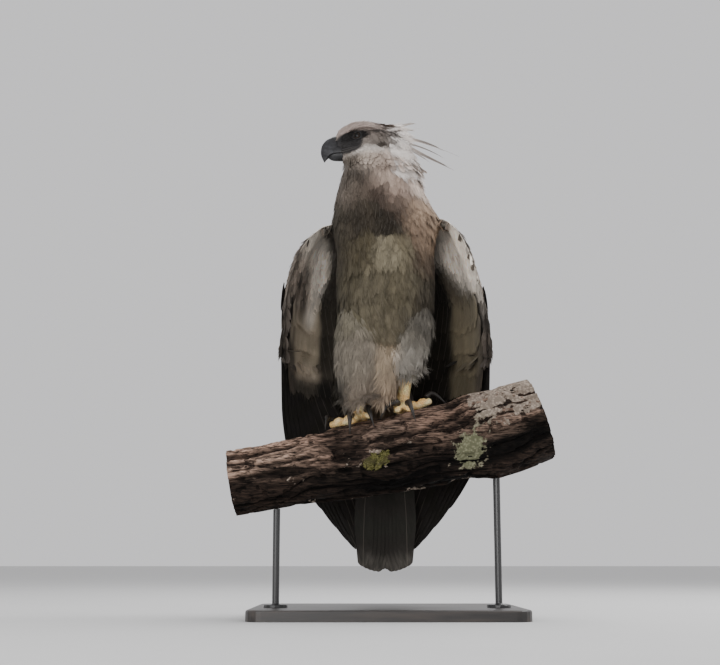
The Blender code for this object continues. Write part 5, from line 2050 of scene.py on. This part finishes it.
def make_perch():
    """Bark in long broken ridges, which only cut inwards from the solid's surface."""
    rows, around = 440, 220
    x, turn = np.meshgrid(
        np.linspace(-PERCH_HALF_LENGTH, PERCH_HALF_LENGTH, rows),
        np.linspace(0, 2 * math.pi, around, endpoint=False),
        indexing="ij",
    )
    base = on_perch(x, turn)
    # The noise is read on a plain cylinder about as thick as the branch
    wrap = np.stack([x, np.cos(turn) * BARK_WRAP, np.sin(turn) * BARK_WRAP], axis=-1)
    plate = wrap + (0.030 * (cloud(wrap, 0.07, 91) - 0.5))[..., None]
    ridge = cloud(plate, (0.070, 0.0125, 0.0125), 92)
    small = cloud(plate, (0.024, 0.0042, 0.0042), 93)
    crack = 1 - np.abs(2 * cloud(plate, (0.095, 0.017, 0.017), 94) - 1)
    chip = cloud(wrap, (0.012, 0.008, 0.008), 96)
    depth = 0.0062 * smooth(0.72, 0.30, ridge) + 0.0022 * (1 - small) + 0.0050 * smooth(0.84, 0.98, crack)
    depth = depth + 0.0030 * smooth(0.62, 0.80, chip)
    depth = depth + 0.008 * mound(x, turn, (0.135, 0.45), (0.014, 0.30))
    lichen, moss, green = growth_at(base, turn)
    depth = np.maximum(depth - 0.0012 * lichen - 0.0020 * moss, 0.0004)
    # The ridges lie lower under the feet
    grip = np.max([mound(x, turn, (place, 0.0), (0.05, 0.9)) for place in FOOT_AT.values()], axis=0)
    depth = depth * (1 - 0.55 * grip)
    points = on_perch(x, turn, -depth)
    mesh = mesh_of("perch_bark", points, loft_faces(rows, around)[:-2])
    # Painted shade deep in the furrows and a painted highlight on the ridge tops
    tone = blend(FURROW_SHADED, RIDGE_LIT, smooth(0.0085, 0.0010, depth))
    warm = cloud(wrap, (0.10, 0.03, 0.03), 95)
    tone = tone * blend(COOL_BARK, WARM_BARK, warm)
    # Painted shade underneath, a painted shadow of the bird between the wings, and painted light on top
    # towards the ends
    under = smooth(1.40, 1.95, turn) * smooth(4.4, 3.6, turn)
    middle = np.exp(-(((x - 0.03) / 0.11) ** 2)) * smooth(0.9, 1.5, turn)
    ends = np.maximum(smooth(-0.08, -0.20, x), 0.6 * smooth(0.20, 0.27, x)) * smooth(1.9, 1.2, turn)
    tone = tone * ((1 - 0.86 * under) * (1 - 0.45 * middle) * (1 + 1.3 * ends))[..., None]
    colour_attribute(mesh, "tint", tone.reshape(-1, 3))
    covered = lichen * smooth(0.0110, 0.0070, depth)
    growth = np.stack([covered.ravel(), moss.ravel(), green.ravel()], axis=1)
    colour_attribute(mesh, "growth", growth)
    make_object("perch_bark", mesh, bark_material(), "bark", "perch")
    make_perch_ends(points, turn[0])


def make_perch_ends(points, turn):
    """The sawn faces that close the bark at both ends."""
    around = len(turn)
    sawn = end_grain_material()
    shares = np.linspace(1.0, 0.02, 26)
    for word, row in (("low", 0), ("high", -1)):
        rim = points[row]
        middle = rim.mean(axis=0)
        rings = [middle + (rim - middle) * k for k in shares]
        end = mesh_of(f"perch_end_{word}", rings, loft_faces(len(rings), around)[:-2])
        spots = np.zeros((len(shares), around, 3))
        spots[..., 0] = shares[:, None]
        spots[..., 1] = 0.5 - 0.5 * np.cos(turn)
        colour_attribute(end, "tint", spots.reshape(-1, 3))
        make_object(f"perch_end_{word}", end, sawn, "bark")


def make_moss():
    """Small cushions of moss on the front of the branch."""
    coat = Coat("perch_moss")
    template = down_template(7, 1.2, 0.25)
    tries = 30000
    x = between(tries, -0.10, 0.06)
    turn = between(tries, 1.2, 2.3)
    base = on_perch(x, turn, -0.0030)
    _, moss, _ = growth_at(base, turn)
    keep = rng.random(tries) < (moss * 1.1 - 0.15) * smooth(0.25, 0.6, cloud(base, 0.008, 84))
    x, turn, base = x[keep], turn[keep], base[keep]
    normals = unit(on_perch(x, turn, 0.0) - on_perch(x, turn, -0.01))
    flow = tangent(unit(rng.normal(size=(len(base), 3))), normals)
    length = between(len(base), 0.0020, 0.0052)
    tint = fade(blend(MOSS_DARK, MOSS_PALE, rng.random(len(base))), template)
    uv = np.stack([0.1 + 0.8 * (x + 0.1) / 0.16, turn / 2.4], axis=1)
    plant(coat, template, base, normals, flow, length, length * 0.9, np.radians(55), tint, uv, soft=0.3)
    coat.build(moss_material(), "bark")


# The stage


FLOOR_REACH = 40.0
SKY = (0.81, 0.805, 0.82, 1.0)
# Lamps: name, place, size in metres, power in watts
LAMPS = (
    ("high", (0.5, 0.9, 3.0), 2.4, 60.0),
    ("right", (2.2, 0.4, 2.0), 1.6, 42.0),
    ("front", (-1.4, -3.0, 0.9), 2.0, 42.0),
    ("low", (-0.5, -2.4, 0.30), 1.2, 12.0),
)
LAMPS_AIM = Vector((0, 0, 0.55))
CAMERA_PLACE = (-0.05, -2.3, 0.10)
CAMERA_TILT = 10.67  # degrees upwards
CAMERA_LENS = 61.2


def dress_stand():
    """The stand's board and rods keep their solids, with a finish and crisp edges."""
    board, paint = stand_wood_material(), rod_material()
    for name, surface in (("stand_base", board), ("stand_rod_left", paint), ("stand_rod_right", paint)):
        obj = bpy.data.objects[name]
        obj.material_slots[0].material = surface
        obj.data.shade_smooth()
        obj.data.set_sharp_from_angle(angle=math.radians(40))


def set_stage():
    """A pale floor, an even sky and four soft lamps."""
    mesh = bpy.data.meshes.new("floor")
    corners = [(x * FLOOR_REACH, y * FLOOR_REACH, 0) for x, y in ((-1, -1), (1, -1), (1, 1), (-1, 1))]
    mesh.from_pydata(corners, [], [(0, 1, 2, 3)])
    mesh.materials.append(floor_material())
    floor = new_object("floor", mesh)
    world = bpy.data.worlds.new("soft_sky")
    bpy.context.scene.world = world
    world.use_nodes = True
    back = world.node_tree.nodes["Background"]
    back.inputs["Color"].default_value = SKY
    back.inputs["Strength"].default_value = 1.0
    for name, place, size, power in LAMPS:
        light = bpy.data.lights.new(name, "AREA")
        light.size = size
        light.energy = power
        lamp = new_object(name, light)
        lamp.location = place
        lamp.rotation_euler = (LAMPS_AIM - Vector(place)).to_track_quat("-Z", "Y").to_euler()


def set_camera():
    """Low in front, looking up at the bird as the photograph does."""
    data = bpy.data.cameras.new("camera")
    data.lens, data.sensor_width, data.clip_start = CAMERA_LENS, 36.0, 0.05
    camera = new_object("camera", data)
    camera.location = CAMERA_PLACE
    camera.rotation_euler = (math.radians(90 + CAMERA_TILT), 0, 0)
    bpy.context.scene.camera = camera


def main():
    nodes = {name: Node(name) for name in FLESH}
    skin, region = make_skin(nodes)
    ground = Ground(skin, region)
    feathers = feather_material("feather_vane")
    coat_head(ground, feathers)
    coat_brow(ground, feathers)
    coat_nape(ground, feathers)
    coat_body(ground, feathers)
    coat_thighs(ground, feathers)
    for side, word in SIDES:
        wing = Wing(side)
        coat_wing_skin(ground, wing, word, feathers)
        coat_wing_rows(wing, word, feathers)
        coat_flight(wing, word, feathers)
    make_tail(feathers)
    make_crest(feathers)
    make_bill()
    make_lips(skin)
    make_eyes(skin.data.materials[0])
    make_legs()
    make_perch()
    make_moss()
    dress_stand()
    set_stage()
    set_camera()


main()
